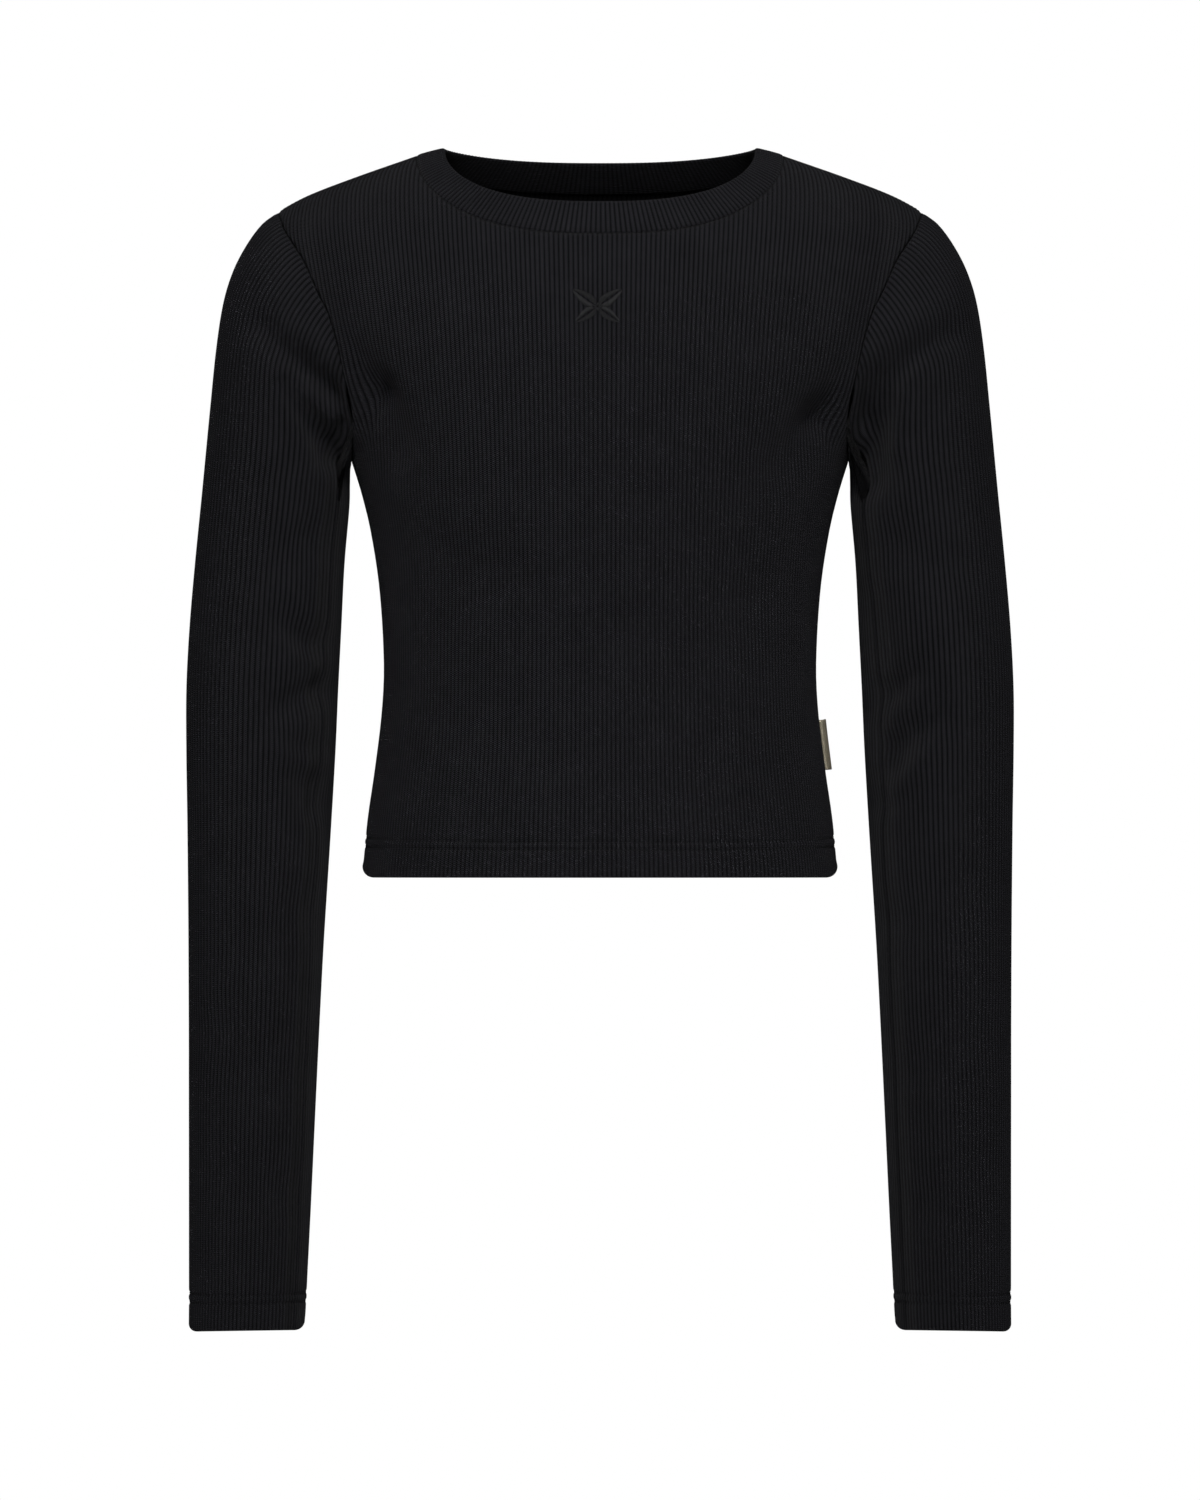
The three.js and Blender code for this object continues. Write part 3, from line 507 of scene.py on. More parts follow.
def panelObject(face, name):
    steps = knit["stepsPerRib"]
    widest = math.ceil(max(ribsTo(face, z, "edge") 
                           for z in (landmarks["hemLevel"], landmarks["underarmZ"], -250.0))) + 1
    columns = np.arange(-widest * steps, widest * steps + 1) / steps
    tops = topOfRib(face, np.arange(0, widest + 0.01, 0.05), panel["overBand"])
    topAt = lambda rib: np.interp(np.abs(rib), np.arange(0, widest + 0.01, 0.05), tops)
    levels = [lambda rib, z=z: np.full(np.shape(rib), z) for z in lowerLevels()]
    for share in upperShares():
        levels.append(lambda rib, s=share: landmarks["underarmZ"] + s * (topAt(rib) - landmarks["underarmZ"]))
    numbers = np.arange(30, widest, 0.02)
    grid = {"rib": [], "z": [], "end": []}
    for i, level in enumerate(levels):
        past = ribsTo(face, level(numbers), "edge") <= numbers
        end = numbers[np.argmax(past)] if past.any() else widest
        kept = end
        if i == len(levels) - 1:
            # along the shoulder seam to its tip
            kept, end = grid["end"][-1][0], float(ribsTo(face, landmarks["tipZ"], "length"))
        rib = np.where(np.abs(columns) > kept - 0.12, np.sign(columns) * end, columns)
        grid["rib"].append(rib)
        grid["z"].append(level(rib))
        grid["end"].append(np.full(len(columns), end))
    rib, z, end = (np.array(grid[key]) for key in ("rib", "z", "end"))
    place, normal = bodySurface(face, rib, z)
    toSide = (end - np.abs(rib)) * knit["ribPitch"] * stretchAt(z)
    last = np.abs(np.abs(rib) - end) < 1e-9
    toTop = np.linalg.norm(place[-1] - place, axis=-1)
    toEdge = np.minimum(np.where(last, 0, toSide), toTop)
    open_ = smoothStep(toEdge, 0, knit["seamReach"])          # no thickness at the seams
    dip = knit["seamDip"] * (1 - smoothStep(toEdge, 0, 1.8))
    height = z - landmarks["hemLevel"]
    dip = dip + stitchGroove(height, panel["stitchRows"], panel["groove"])
    crest = ribCrest(rib)
    relief = knit["ribHeight"] * (crest - 0.4) * smoothStep(toEdge, 0.2, 2.2)
    outer = place + normal * (relief - dip)[..., None]
    step = smoothStep(height, panel["hemTop"], panel["hemTop"] + 1.5)
    wall = knit["hem"] * (1 - step) + knit["wall"] * step
    inner = place - normal * (wall * open_ + dip * (1 - open_) + 0.3 * (0.5 - crest) * open_)[..., None]
    inner = np.where((toEdge <= 1e-6)[..., None], outer, inner)
    along = np.concatenate([np.zeros((1, len(columns))), np.cumsum(np.linalg.norm(np.diff(place, axis=0), axis=-1), axis=0)])
    # the fold at the hem, from the inside round to the outside
    fold, foldAlong = [], []
    radius = knit["hem"] / 2
    for turn in (150, 120, 90, 60, 30):
        a = math.radians(turn)
        depth = radius * (1 - math.cos(a)) * open_[0]
        still = (0.4 + 0.6 * abs(math.cos(a))) * (1 if turn < 90 else 0.3)
        point = place[0] + normal[0] * (relief[0] * still - dip[0] - depth)[..., None]
        point[:, 2] = place[0, :, 2] - radius * math.sin(a)
        fold.append(point)
        foldAlong.append(np.full(len(columns), -radius * a))
    sheet = np.concatenate([inner[::-1], np.array(fold), outer])
    alongs = np.concatenate([along[::-1], np.array(foldAlong), along])
    ribs = np.concatenate([rib[::-1], np.repeat(rib[:1], len(fold), axis=0), rib])
    uv = np.stack([ribs, alongs], axis=-1)
    if face > 0:
        sheet, uv = sheet[:, ::-1], uv[:, ::-1]
    # 1 on the inner rows, easing off round the hem fold: where the material paints shade inside the garment
    inside = np.concatenate([np.ones(len(inner)), np.linspace(0.8, 0, len(fold)), np.zeros(len(outer))])
    made = gridObject(name, sheet, uv, knitFinish, inside)
    print(name, len(made.data.polygons), "faces")
    return made


frontPanel = panelObject(-1, "frontPanel")
backPanel = panelObject(1, "backPanel")

# Sleeves

sleeve = {
    "ribs": 90,
    "hemTop": 19.2,
    "stitchRows": (13.8, 18.2),
    "groove": 0.6,
    "cuffLevel": -591.0,
    "upperRows": 60, "upperEnd": -190.0, "rowStep": 3.2, "innerRows": 66,
    # how far a line across the ribs leans down towards the body, by level at the outline, degrees
    "lean": [(-600, 0), (-152, 0), (-129, 12), (-100, 25), (-76, 35), (-60, 40), (-33, 45), (0, 45)],
}


def sleeveTables():
    rings = np.array(sleeveRings, float)
    middle = (rings[:, 0:2] + rings[:, 2:4]) / 2
    along = np.concatenate([[0], np.cumsum(np.linalg.norm(np.diff(middle, axis=0), axis=1))])
    return along, [curve(list(zip(along, rings[:, k]))) for k in range(7)]


sleeveAlong, ringAt = sleeveTables()


def sleeveBase(along, angle):
    # a point of the outside without ribs and folds, on the wearer's left
    outerX, outerZ, innerX, innerZ, depth, bend, seam = (column(along) for column in ringAt)
    seam = np.clip(seam, 0, 1)
    cosine, sine = np.cos(angle), np.sin(angle)
    x = (outerX + innerX) / 2 + (outerX - innerX) / 2 * cosine
    z = (outerZ + innerZ) / 2 + (outerZ - innerZ) / 2 * cosine
    y = bend - depth * sine * (1 - landmarks["armholeEgg"] * seam * cosine)
    level = armholeMiddle + armholeHalf * cosine
    straight = landmarks["underarmX"] + (level - landmarks["underarmZ"]) / (2 * armholeHalf) * (
        landmarks["tipX"] - landmarks["underarmX"])
    x = x + seam * (armholeX(level) - straight)
    return np.stack([x, y, z], axis=-1)


def cuffLift(place, along, angle):
    # the cuff's edge, seen from the front, is level and rounded at both ends
    outerX, innerX = ringAt[0](along), ringAt[2](along)
    height = place[..., 2] - sleeve["cuffLevel"]
    inset = np.minimum(outerX - place[..., 0], place[..., 0] - innerX)
    lift = edgeLift(height, 1 - np.abs(np.sin(angle)), inset, cuffEdge)
    inwards = (outerX - place[..., 0]) / (outerX - innerX)
    return lift + cuffEdge["inner"] * inwards * (1 - smoothStep(height, 0, 30))


def ribCourses():
    # the ribs run straight down the sleeve: by level at the outline and rib number, the ring and the
    # angle where the rib is, and the level where it leaves the armhole seam
    angles = np.linspace(0, math.pi, 361)
    alongs = np.concatenate([np.arange(-14, 70, 0.7), np.arange(70, sleeveAlong[-1], 2.5), [sleeveAlong[-1] + 4]])
    a, s = np.meshgrid(angles, alongs)
    base = sleeveBase(s, a)
    levels = np.concatenate([np.arange(-30, -60, -0.4), np.arange(-60, -145, -1.0), np.arange(-145, -170, -0.4),
                             np.arange(-170, -590, -5.0), [sleeve["cuffLevel"]]])
    numbers = np.arange(0, sleeve["ribs"] // 2 * knit["stepsPerRib"] + 1) / knit["stepsPerRib"]
    leans = np.array(sleeve["lean"], float)
    j = np.arange(len(angles))
    slices = []
    for level in levels:
        slope = math.tan(math.radians(np.interp(level, leans[:, 0], leans[:, 1])))
        outline = np.interp(-level, -base[:, 0, 2], base[:, 0, 0])
        above = base[..., 2] + slope * (outline - base[..., 0]) - level
        k = np.clip(np.argmax(above < 0, axis=0), 1, len(alongs) - 1)
        t = np.clip(above[k - 1, j] / (above[k - 1, j] - above[k, j]), 0, 1)
        points = base[k - 1, j] * (1 - t)[:, None] + base[k, j] * t[:, None]
        length = np.concatenate([[0], np.cumsum(np.linalg.norm(np.diff(points, axis=0), axis=1))])
        slices.append((alongs[k - 1] + t * (alongs[k] - alongs[k - 1]), length))
    below = levels <= landmarks["underarmZ"]
    full = slices[int(np.argmax(below))][1][-1]
    rings, turns = [], []
    for level, (ring, length) in zip(levels, slices):
        pitch = (length[-1] if level <= landmarks["underarmZ"] else full) / (sleeve["ribs"] / 2)
        rings.append(np.interp(numbers * pitch, length, ring))
        turns.append(np.interp(numbers * pitch, length, angles))
    rings, turns = np.array(rings), np.array(turns)
    k = np.clip(np.argmax(rings > 0, axis=0), 1, len(levels) - 1)
    i = np.arange(len(numbers))
    t = np.clip(rings[k - 1, i] / (rings[k - 1, i] - rings[k, i]), 0, 1)
    tops = levels[k - 1] + t * (levels[k] - levels[k - 1])
    tops[-1] = landmarks["underarmZ"]
    return levels, rings, turns, tops


courses = ribCourses()
print("rib courses ready")


def gridNormals(place):
    back = np.concatenate([place[:, -2:-1], place[:, :-1]], axis=1)
    ahead = np.concatenate([place[:, 1:], place[:, 1:2]], axis=1)
    normal = np.cross(ahead - back, np.gradient(place, axis=0))
    return normal / np.linalg.norm(normal, axis=-1, keepdims=True)


def sleeveObject(side, name):
    steps, half = knit["stepsPerRib"], sleeve["ribs"] // 2
    ribs = np.arange(sleeve["ribs"] * steps + 1) / steps
    levels, rings, turns, tops = courses
    share = np.concatenate([[0, 0.0035, 0.0075, 0.0125, 0.0185, 0.026], np.linspace(0.036, 1, sleeve["upperRows"] - 6)])
    lower = np.arange(sleeve["upperEnd"] - sleeve["rowStep"], sleeve["cuffLevel"] + 27, -sleeve["rowStep"])
    hem = np.array([24.5, 22.4, 20.8, 19.6, 18.9, 18.2, 17.5, 16.6, 15.4, 14.5, 13.8, 13.1, 12.2, 9.8, 7, 4.5, 2.6, 1.1])
    ring, angle = [], []
    for column in np.rint(np.minimum(ribs, sleeve["ribs"] - ribs) * steps).astype(int):
        z = np.concatenate([tops[column] + share * (sleeve["upperEnd"] - tops[column]), lower, sleeve["cuffLevel"] + hem])
        ring.append(np.interp(-z, -levels, rings[:, column]))
        angle.append(np.interp(-z, -levels, turns[:, column]))
    ring, angle = np.array(ring).T, np.array(angle).T
    ring[0] = 0
    angle = np.where(ribs > half, 2 * math.pi - angle, angle)
    base = sleeveBase(ring, angle)
    base[:, -1] = base[:, 0]
    # distance from the armhole seam
    seamTurn = np.linspace(0, 2 * math.pi, 721)
    seam = sleeveBase(np.zeros(721), seamTurn)
    toSeam = np.full(ring.shape, 99.0)
    for row in range(sleeve["upperRows"]):
        toSeam[row] = np.linalg.norm(base[row][:, None] - seam[None], axis=-1).min(axis=1)
    toSeam[0] = 0
    face = np.where(np.sin(angle) > 0, -1, 1)
    normal = gridNormals(base)
    sunk = foldDepth(sleeveFolds, face, side * base[..., 0], base[..., 2]) * np.abs(normal[..., 1])
    place = base - normal * (sunk * smoothStep(toSeam, 0.5, 8))[..., None]
    height = base[..., 2] - sleeve["cuffLevel"]
    place[..., 2] += cuffLift(base, ring, angle)
    place[:, -1] = place[:, 0]
    normal = gridNormals(place)
    crest = ribCrest(np.broadcast_to(ribs, ring.shape))
    opened = smoothStep(toSeam, 0, knit["seamReach"])
    # the seam is flat at the shoulder tip, where the outline runs on
    nearTip = 1 - 0.85 * np.exp(-np.linalg.norm(base - seam[0], axis=-1) / 9)
    dip = knit["seamDip"] * nearTip * (1 - smoothStep(toSeam, 0, 1.8)) + stitchGroove(
        height, sleeve["stitchRows"], sleeve["groove"])
    relief = knit["ribHeight"] * (crest - 0.4) * smoothStep(toSeam, 0.2, 2.2)
    step = smoothStep(height, sleeve["hemTop"], sleeve["hemTop"] + 1.5)
    wall = knit["hem"] * (1 - step) + knit["wall"] * step
    outer = place + normal * (relief - dip)[..., None]
    inside = place - normal * (wall * opened + dip * (1 - opened) + 0.3 * (0.5 - crest) * opened)[..., None]
    inside[0] = outer[0]
    along = np.concatenate([np.zeros((1, len(ribs))), np.cumsum(np.linalg.norm(np.diff(place, axis=0), axis=-1), axis=0)])
    # the inside has fewer rows, most of them where the folds are
    straight = len(ring) - len(hem)
    bending = np.abs(np.diff(np.pad(sunk, ((1, 1), (0, 0)), mode="edge"), n=2, axis=0)).max(axis=1)[:straight + 1]
    weight = np.cumsum(0.12 + np.convolve(bending / bending.max(), np.ones(5) / 5, mode="same"))
    weight = (weight - weight[0]) / (weight[-1] - weight[0])
    pick = np.unique(np.rint(np.interp(np.linspace(0, 1, sleeve["innerRows"]), weight, np.arange(straight + 1))).astype(int))
    pick = np.concatenate([pick, [straight + 3, straight + 5, straight + 10, straight + 13, len(ring) - 1]])
    radius = knit["hem"] / 2
    fold, foldAlong = [], []
    for turn in (30, 60, 90, 120, 150):
        a = math.radians(turn)
        still = (0.4 + 0.6 * abs(math.cos(a))) * (1 if turn < 90 else 0.3)
        point = place[-1] + normal[-1] * (relief[-1] * still - dip[-1] - radius * (1 - math.cos(a)))[..., None]
        point[:, 2] = place[-1][:, 2] - radius * math.sin(a)
        fold.append(point)
        foldAlong.append(along[-1] + radius * a)
    sheet = np.concatenate([outer, np.array(fold), inside[pick][::-1]])
    alongs = np.concatenate([along, np.array(foldAlong), along[pick][::-1]])
    uv = np.stack([np.broadcast_to(ribs, alongs.shape), alongs], axis=-1)
    sheet = sheet * np.array([side, 1, 1])
    if side < 0:
        sheet, uv = sheet[:, ::-1], uv[:, ::-1]
    # 1 on the inner rows, easing off round the cuff fold: where the material paints shade inside the garment
    inside = np.concatenate([np.zeros(len(outer)), np.linspace(0, 0.8, len(fold)), np.ones(len(pick))])
    made = gridObject(name, sheet, uv, knitFinish, inside)
    print(name, len(made.data.polygons), "faces")
    return made


sleeveLeft = sleeveObject(1, "sleeveLeft")
sleeveRight = sleeveObject(-1, "sleeveRight")

# Neckband

band = {
    "ribs": 204,
    "thickness": 2.2,
    "narrowing": 0.9,      # depth of its upper edge against its seam
    # height as a share of the band, or past its ends in millimetres, and depth from the outside
    "profile": [(-0.4, 0, -1.15), (0.2, 0, -0.4), (0.9, 0, -0.05), (0, 0.17, 0.05), (0, 0.34, 0.1), (0, 0.52, 0.1),
                (0, 0.7, 0.05), (-2.4, 1, 0), (-1.1, 1, -0.14), (-0.35, 1, -0.5), (0, 1, -1.1), (-0.35, 1, -1.7),
                (-1.1, 1, -2.06), (-2.4, 1, -2.2), (0, 0.6, -2.2), (0, 0.3, -2.2), (0.4, 0, -2.0), (-0.4, 0, -1.7)],
}


def bandRails():
    # the seam and the upper edge, evenly spaced along the seam
    angle = np.linspace(0, 2 * math.pi, 4001)
    share = np.cos(angle)
    seams, tops = [], []
    for face in (-1, 1):
        level = neckLevel(neckline, face, share)
        x = neckline["half"] * share
        half, depth, power = halfOf(face, level), depthOf[face](level), powerAt(level)
        rest = np.clip(1 - (np.abs(x) / half) ** power, 0, 1)
        y = face * depth * rest ** (1 / power)
        seams.append(np.stack([x, y, level], axis=-1))
        top = neckLevel(bandEdge, face, share)
        tops.append(np.stack([bandEdge["half"] * share, y * band["narrowing"], top], axis=-1))
    front = (angle < math.pi)[..., None]
    seam, top = np.where(front, seams[0], seams[1]), np.where(front, tops[0], tops[1])
    seam, top = np.concatenate([seam, seam[:1]]), np.concatenate([top, top[:1]])
    along = np.concatenate([[0], np.cumsum(np.linalg.norm(np.diff(seam, axis=0), axis=1))])
    even = np.linspace(0, along[-1], band["ribs"] * knit["stepsPerRib"] + 1)
    pick = lambda line: np.stack([np.interp(even, along, line[:, k]) for k in range(3)], axis=-1)
    return pick(seam), pick(top), along[-1]


def bandFrame():
    seam, top, length = bandRails()
    ahead = np.concatenate([seam[1:], seam[1:2]])
    back = np.concatenate([seam[-2:-1], seam[:-1]])
    tangent = ahead - back
    tangent /= np.linalg.norm(tangent, axis=1, keepdims=True)
    rise = top - seam
    width = np.linalg.norm(rise, axis=1, keepdims=True)
    rise /= width
    outward = np.cross(rise, tangent)
    outward /= np.linalg.norm(outward, axis=1, keepdims=True)
    outward *= np.sign(outward[:, 2:3])
    return seam, rise, outward, tangent, width[:, 0], length


def neckbandObject(name):
    seam, rise, outward, tangent, width, length = bandFrame()
    print("neckband seam", round(length), "mm, widest", round(float(width.max()), 1),
          "narrowest", round(float(width.min()), 1))
    ribs = np.arange(len(seam)) / knit["stepsPerRib"]
    crest = ribCrest(ribs)
    rows, alongs = [], []
    last, run = None, np.zeros(len(seam))
    for offset, share, depth in band["profile"]:
        high = offset + share * width
        isOuter = depth > -1.0
        relief = knit["ribHeight"] * (crest - 0.4) * (smoothStep(high, 0.0, 2.0) if isOuter else -0.3)
        row = seam + rise * high[:, None] + outward * (depth + relief)[:, None]
        if last is not None:
            run = run + np.linalg.norm(row - last, axis=1)
        last = row
        rows.append(row)
        alongs.append(run)
    rows.append(rows[0])
    alongs.append(run + 1)
    sheet = np.array(rows)
    uv = np.stack([np.broadcast_to(ribs, (len(rows), len(seam))), np.array(alongs)], axis=-1)
    depths = np.array([depth for offset, share, depth in band["profile"]])
    # 1 on the band's inner face, where the material paints shade inside the garment
    inside = smoothStep(-np.append(depths, depths[0]), 1.2, 2.1)
    made = gridObject(name, sheet[:, ::-1], uv[:, ::-1], bandFinish, inside)
    print(name, len(made.data.polygons), "faces")
    return made


neckbandPiece = neckbandObject("neckbandPiece")

# Stitching

stitching = {"length": 1.3, "width": 0.45, "height": 0.4, "pitch": 2.2}


def stitchObject(name, stitches, material):
    # each stitch is a point, a direction and a normal, and its own size if it has one
    size = (stitching["length"], stitching["width"], stitching["height"])
    bm = bmesh.new()
    for point, direction, normal, *own in stitches:
        length, width, height = own[0] if own else size
        d, n = Vector(direction).normalized(), Vector(normal).normalized()
        side = n.cross(d).normalized()
        n = d.cross(side).normalized()
        matrix = Matrix((d * length / 2, side * width / 2, n * height / 2)).transposed().to_4x4()
        matrix.translation = Vector(point)
        bmesh.ops.create_uvsphere(bm, u_segments=6, v_segments=4, radius=1, matrix=Matrix.Scale(millimetre, 4) @ matrix)
    for f in bm.faces:
        f.smooth = True
    mesh = bpy.data.meshes.new(name)
    bm.to_mesh(mesh)
    bm.free()
    mesh.materials.append(material)
    made = bpy.data.objects.new(name, mesh)
    scene.collection.objects.link(made)
    return made


def hemStitches(face):
    found = []
    for height in panel["stitchRows"]:
        z = landmarks["hemLevel"] + height
        pitch = knit["ribPitch"] * float(stretchAt(z))
        reach = float(ribsTo(face, z, "edge")) - 0.6
        count = int(2 * reach * pitch / stitching["pitch"])
        rib = np.linspace(-reach, reach, count)
        place, normal = bodySurface(face, rib, np.full(count, z))
        ahead, _ = bodySurface(face, rib + 0.1, np.full(count, z))
        for p, n, q in zip(place, normal, ahead):
            found.append((p - n * 0.1, q - p, n))
    return found


def cuffStitches(side):
    found = []
    for height in sleeve["stitchRows"]:
        count = 66
        angle = np.arange(count) / count * 2 * math.pi
        rings = []
        for turn, down in ((0, 0), (0.01, 0), (0, 1)):
            s = np.full(count, sleeveAlong[-1] - height + down)
            place = sleeveBase(s, angle + turn)
            place[:, 2] += cuffLift(place, s, angle + turn)
            rings.append(place)
        for p, q, b in zip(*rings):
            n = np.cross(q - p, b - p)
            n /= np.linalg.norm(n)
            mirror = np.array([side, 1, 1])
            found.append(((p - n * 0.1) * mirror, (q - p) * mirror, n * mirror))
    return found


def neckStitches():
    # one row on the panels, just outside the neckband's seam
    seam, rise, outward, tangent, width, length = bandFrame()
    count = int(length / stitching["pitch"])
    found = []
    for i in np.rint(np.linspace(0, len(seam) - 1, count, endpoint=False)).astype(int):
        if abs(tangent[i, 1]) > 0.8:
            continue        # over the shoulder seam
        towards = np.array([-tangent[i, 2], 0, tangent[i, 0]])
        if towards @ rise[i] < 0:
            towards = -towards
        away = seam[i] - 2.5 * towards / np.linalg.norm(towards)
        face = -1 if away[1] < 0 else 1
        power = float(powerAt(away[2]))
        rest = max(0.0, 1 - (abs(away[0]) / float(halfOf(face, away[2]))) ** power)
        y = face * float(depthOf[face](away[2])) * rest ** (1 / power)
        n = bodyNormal(face, np.array(away[0]), np.array(y), np.array(away[2]))
        point = np.array([away[0], y, away[2]])
        found.append((point + n * 0.12, tangent[i], n))
    return found


frontStitches = stitchObject("hemStitchesFront", hemStitches(-1), threadFinish)
backStitches = stitchObject("hemStitchesBack", hemStitches(1), threadFinish)
cuffStitchesLeft = stitchObject("cuffStitchesLeft", cuffStitches(1), threadFinish)
cuffStitchesRight = stitchObject("cuffStitchesRight", cuffStitches(-1), threadFinish)
neckStitching = stitchObject("neckStitches", neckStitches(), threadFinish)
print("stitching done")

# Blossom on the chest, tone on tone

blossom = {"x": -1.25, "z": -80.5, "petal": 13.0, "width": 7.0, "strand": 0.55, "lean": 35}


def blossomStitches():
    found = []

    def onFront(u, v):
        x, z = blossom["x"] + u, blossom["z"] + v
        n = float(powerAt(z))
        rest = 1 - (abs(x) / float(halfOf(-1, z))) ** n
        y = -float(depthOf[-1](z)) * rest ** (1 / n)
        normal = bodyNormal(-1, np.array(x), np.array(y), np.array(z))
        return np.array([x, y, z]) + normal * (knit["ribHeight"] * 0.62), normal
    lean = blossom["lean"]
    for turn, scale in ((lean, 1.0), (180 - lean, 1.0), (180 + lean, 0.86), (-lean, 0.86)):
        a = math.radians(turn)
        along, across = np.array([math.cos(a), math.sin(a)]), np.array([-math.sin(a), math.cos(a)])
        length = blossom["petal"] * scale
        count = int(length / 0.5)
        for i in range(count):
            t = (i + 0.5) / count
            half = blossom["width"] / 2 * scale * math.sin(math.pi * t ** 0.8) ** 0.7
            centre = along * (2.2 + length * t)
            # satin strands lie across each petal, on both sides of its vein
            for sideOf in (-1, 1):
                if half < 0.5:
                    continue
                middle = centre + across * sideOf * half * 0.52 - along * 0.35 * half
                direction = across * sideOf - along * 0.55
                point, normal = onFront(*middle)
                tip, _ = onFront(*(middle + direction * 0.1))
                found.append((point, tip - point, normal, (half * 1.05, blossom["strand"], 0.4)))
    for i in range(9):
        a = i / 9 * 2 * math.pi
        point, normal = onFront(1.3 * math.cos(a), 1.3 * math.sin(a))
        tip, _ = onFront(1.3 * math.cos(a) - 0.1 * math.cos(a), 1.3 * math.sin(a) - 0.1 * math.sin(a))
        found.append((point, tip - point, normal, (2.0, 0.6, 0.55)))
    return found


blossomPiece = stitchObject("blossomStitches", blossomStitches(), satinFinish)

# Woven tab in the side seam

tab = {"top": -286.0, "height": 25.0, "reach": 10.0, "lift": 2.6, "thickness": 0.45}


def tabObject(name):
    # folded once: the outer ply runs back from the seam, turns and comes back below itself
    rows = 26
    z = np.linspace(tab["top"] - tab["height"], tab["top"], rows)
    root = sideHalf(z) + 0.35
    t = tab["thickness"]
    ply = []
    for k in range(9):
        share = k / 8
        ply.append((tab["lift"] * math.sin(share * 1.9) / math.sin(1.9) * 0.98, tab["reach"] * share))
    outer = [(x + 2 * t + 0.1, y) for x, y in ply]
    turn = [(ply[-1][0] + t + 0.05 + (t + 0.05) * math.cos(a), ply[-1][1] + (t + 0.05) * math.sin(a))
            for a in (0.8, 1.57, 2.34)]
    inner = [(x, y) for x, y in reversed(ply)]
    loop = outer + turn + inner
    loop.append(loop[0])
    columns = []
    run = 0
    previous = None
    for x, y in loop:
        if previous is not None:
            run += math.hypot(x - previous[0], y - previous[1])
        previous = (x, y)
        columns.append((x, y + 0.2, run))
    sheet = np.zeros((rows + 2, len(columns), 3))
    uv = np.zeros((rows + 2, len(columns), 2))
    middle = np.array([(p[0] + q[0]) / 2 for p, q in zip(columns, reversed(columns))])
    middleY = np.array([(p[1] + q[1]) / 2 for p, q in zip(columns, reversed(columns))])
    for r in range(rows):
        for c, (x, y, run) in enumerate(columns):
            sheet[r + 1, c] = (root[r] + x, y, z[r])
            uv[r + 1, c] = (z[r], run)
    for c in range(len(columns)):
        sheet[0, c] = (root[0] + middle[c], middleY[c], z[0])
        sheet[-1, c] = (root[-1] + middle[c], middleY[c], z[-1])
        uv[0, c], uv[-1, c] = uv[1, c], uv[-2, c]
    made = gridObject(name, sheet, uv, weaveFinish)
    bm = bmesh.new()
    bm.from_mesh(made.data)
    bmesh.ops.recalc_face_normals(bm, faces=bm.faces)
    bm.to_mesh(made.data)
    bm.free()
    return made


sideTab = tabObject("sideTab")

# Bodies, nodes and cloth

clothPieces = [
    (frontPanel, "front", "rib_knit"), (backPanel, "back", "rib_knit"),
    (sleeveLeft, "sleeve_left", "rib_knit"), (sleeveRight, "sleeve_right", "rib_knit"),
    (neckbandPiece, "neckband", "neck_rib"), (sideTab, "side_label", "label_weave"),
]
for piece, node, finish in clothPieces:
    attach(piece, "root")
    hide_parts(node)
for piece in (frontStitches, backStitches, cuffStitchesLeft, cuffStitchesRight, neckStitching, blossomPiece):
    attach(piece, "root")

# Camera, floor and light, in metres

view = {"lens": 201.6, "place": (0.0, -4.196, -0.119), "target": (0.0, 0.0, -0.301)}
studio = {
    "floorLevel": -0.76, "floorSize": 1.2, "floorTone": 0.9,
    "fill": 0.04,
    # name, place, width, height, watts and how wide it spreads in degrees
    "lights": [("topLight", (0.0, -1.9, 1.5), 0.7, 0.7, 24.0, 180), ("leftLight", (-2.4, -2.0, 0.4), 1.2, 1.2, 4.0, 180),
               ("rightLight", (2.4, -2.0, 0.5), 1.2, 1.2, 5.0, 180), ("lowLight", (0.0, -3.2, -0.5), 0.3, 0.6, 0.12, 14)],
}


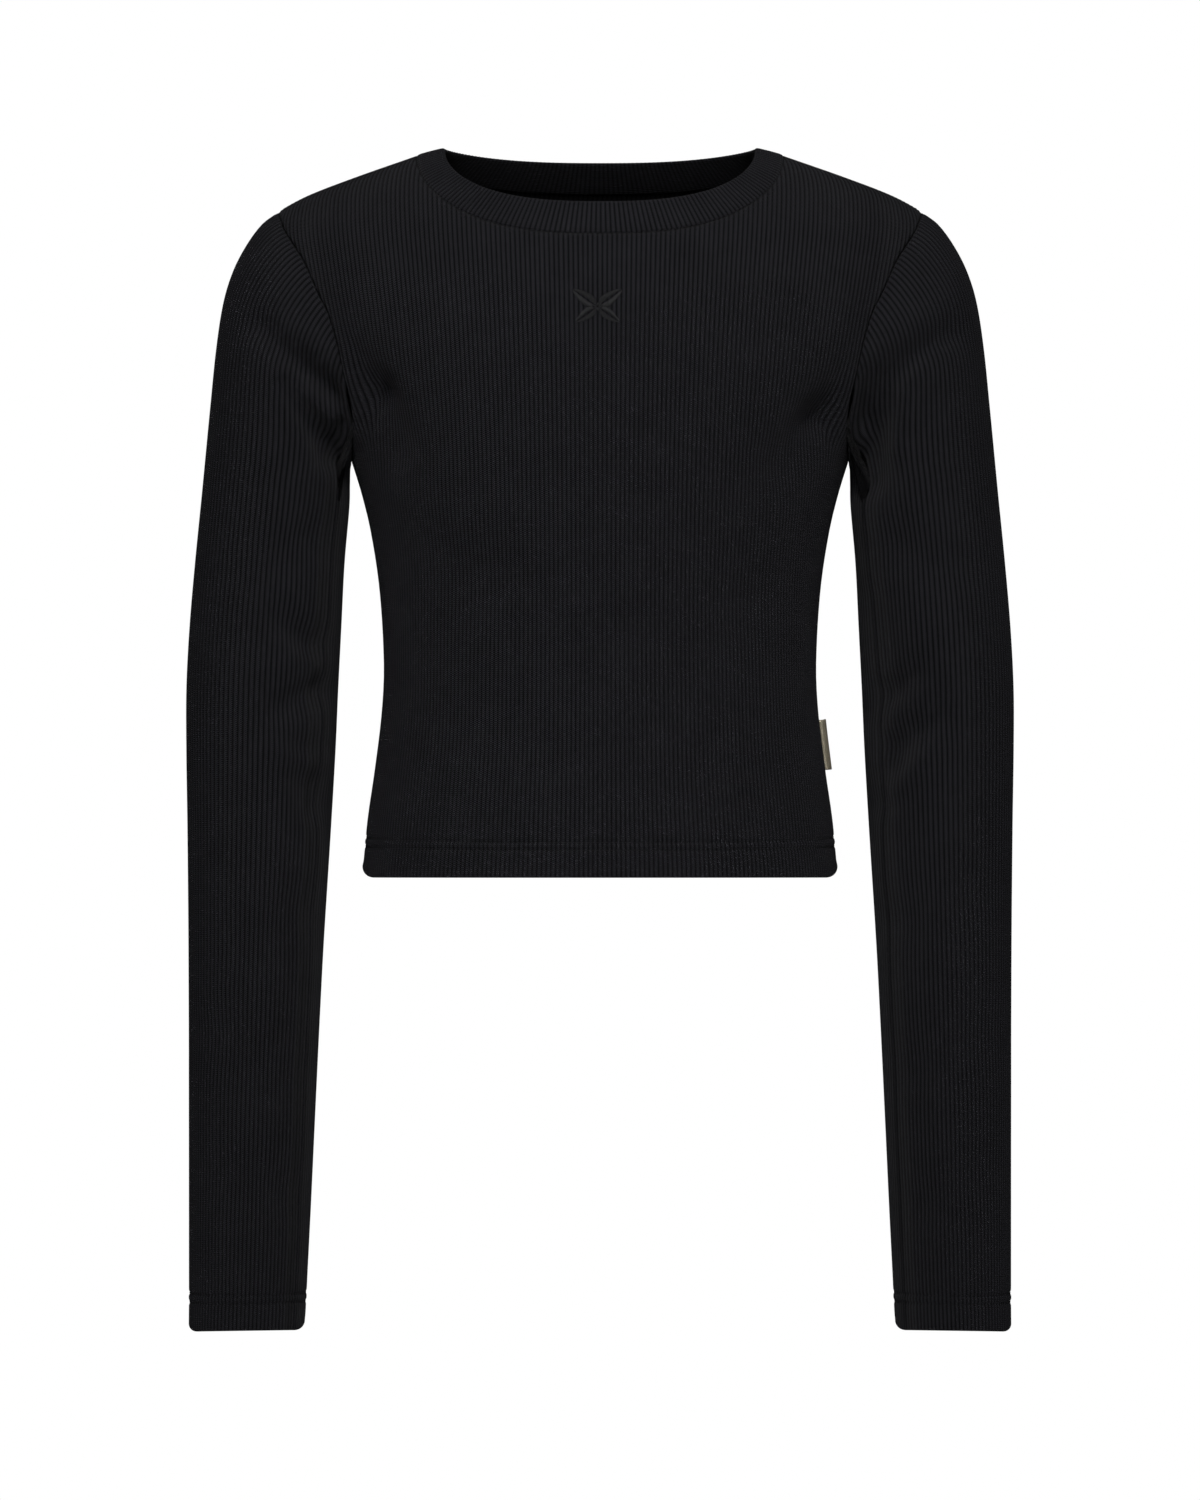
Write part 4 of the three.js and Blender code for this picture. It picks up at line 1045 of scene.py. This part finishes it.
def lookAt(thing, place, target):
    thing.location = place
    thing.rotation_euler = (Vector(target) - Vector(place)).to_track_quat("-Z", "Y").to_euler()


def makeCamera():
    data = bpy.data.cameras.new("camera")
    data.sensor_width = 36
    data.lens = view["lens"]
    camera = bpy.data.objects.new("camera", data)
    lookAt(camera, view["place"], view["target"])
    scene.collection.objects.link(camera)
    scene.camera = camera


def makeStudio():
    bm = bmesh.new()
    bmesh.ops.create_grid(bm, x_segments=1, y_segments=1, size=studio["floorSize"] / 2)
    bmesh.ops.translate(bm, verts=bm.verts, vec=(0, 0, studio["floorLevel"]))
    mesh = bpy.data.meshes.new("floor")
    bm.to_mesh(mesh)
    bm.free()
    material, nodes, links, shader = nodeTree("paleFloor")
    shader.inputs["Base Color"].default_value = (studio["floorTone"],) * 3 + (1,)
    shader.inputs["Roughness"].default_value = 0.9
    mesh.materials.append(material)
    floor = bpy.data.objects.new("floor", mesh)
    scene.collection.objects.link(floor)
    for name, place, width, height, power, spread in studio["lights"]:
        data = bpy.data.lights.new(name, "AREA")
        data.shape = "RECTANGLE"
        data.size, data.size_y = width, height
        data.spread = math.radians(spread)
        data.energy = power
        light = bpy.data.objects.new(name, data)
        lookAt(light, place, (0, 0, -0.28))
        scene.collection.objects.link(light)
    world = bpy.data.worlds.new("studioWorld")
    world.use_nodes = True
    nodes, links = world.node_tree.nodes, world.node_tree.links
    background = nodes["Background"]
    seen = nodes.new("ShaderNodeBackground")
    seen.inputs["Color"].default_value = (1, 1, 1, 1)
    background.inputs["Color"].default_value = (1, 1, 1, 1)
    background.inputs["Strength"].default_value = studio["fill"]
    rays = nodes.new("ShaderNodeLightPath")
    mix = nodes.new("ShaderNodeMixShader")
    links.new(rays.outputs["Is Camera Ray"], mix.inputs[0])
    links.new(background.outputs[0], mix.inputs[1])
    links.new(seen.outputs[0], mix.inputs[2])
    links.new(mix.outputs[0], nodes["World Output"].inputs["Surface"])
    scene.world = world
    scene.view_settings.view_transform = "Standard"


makeCamera()
makeStudio()
print("camera and studio ready")
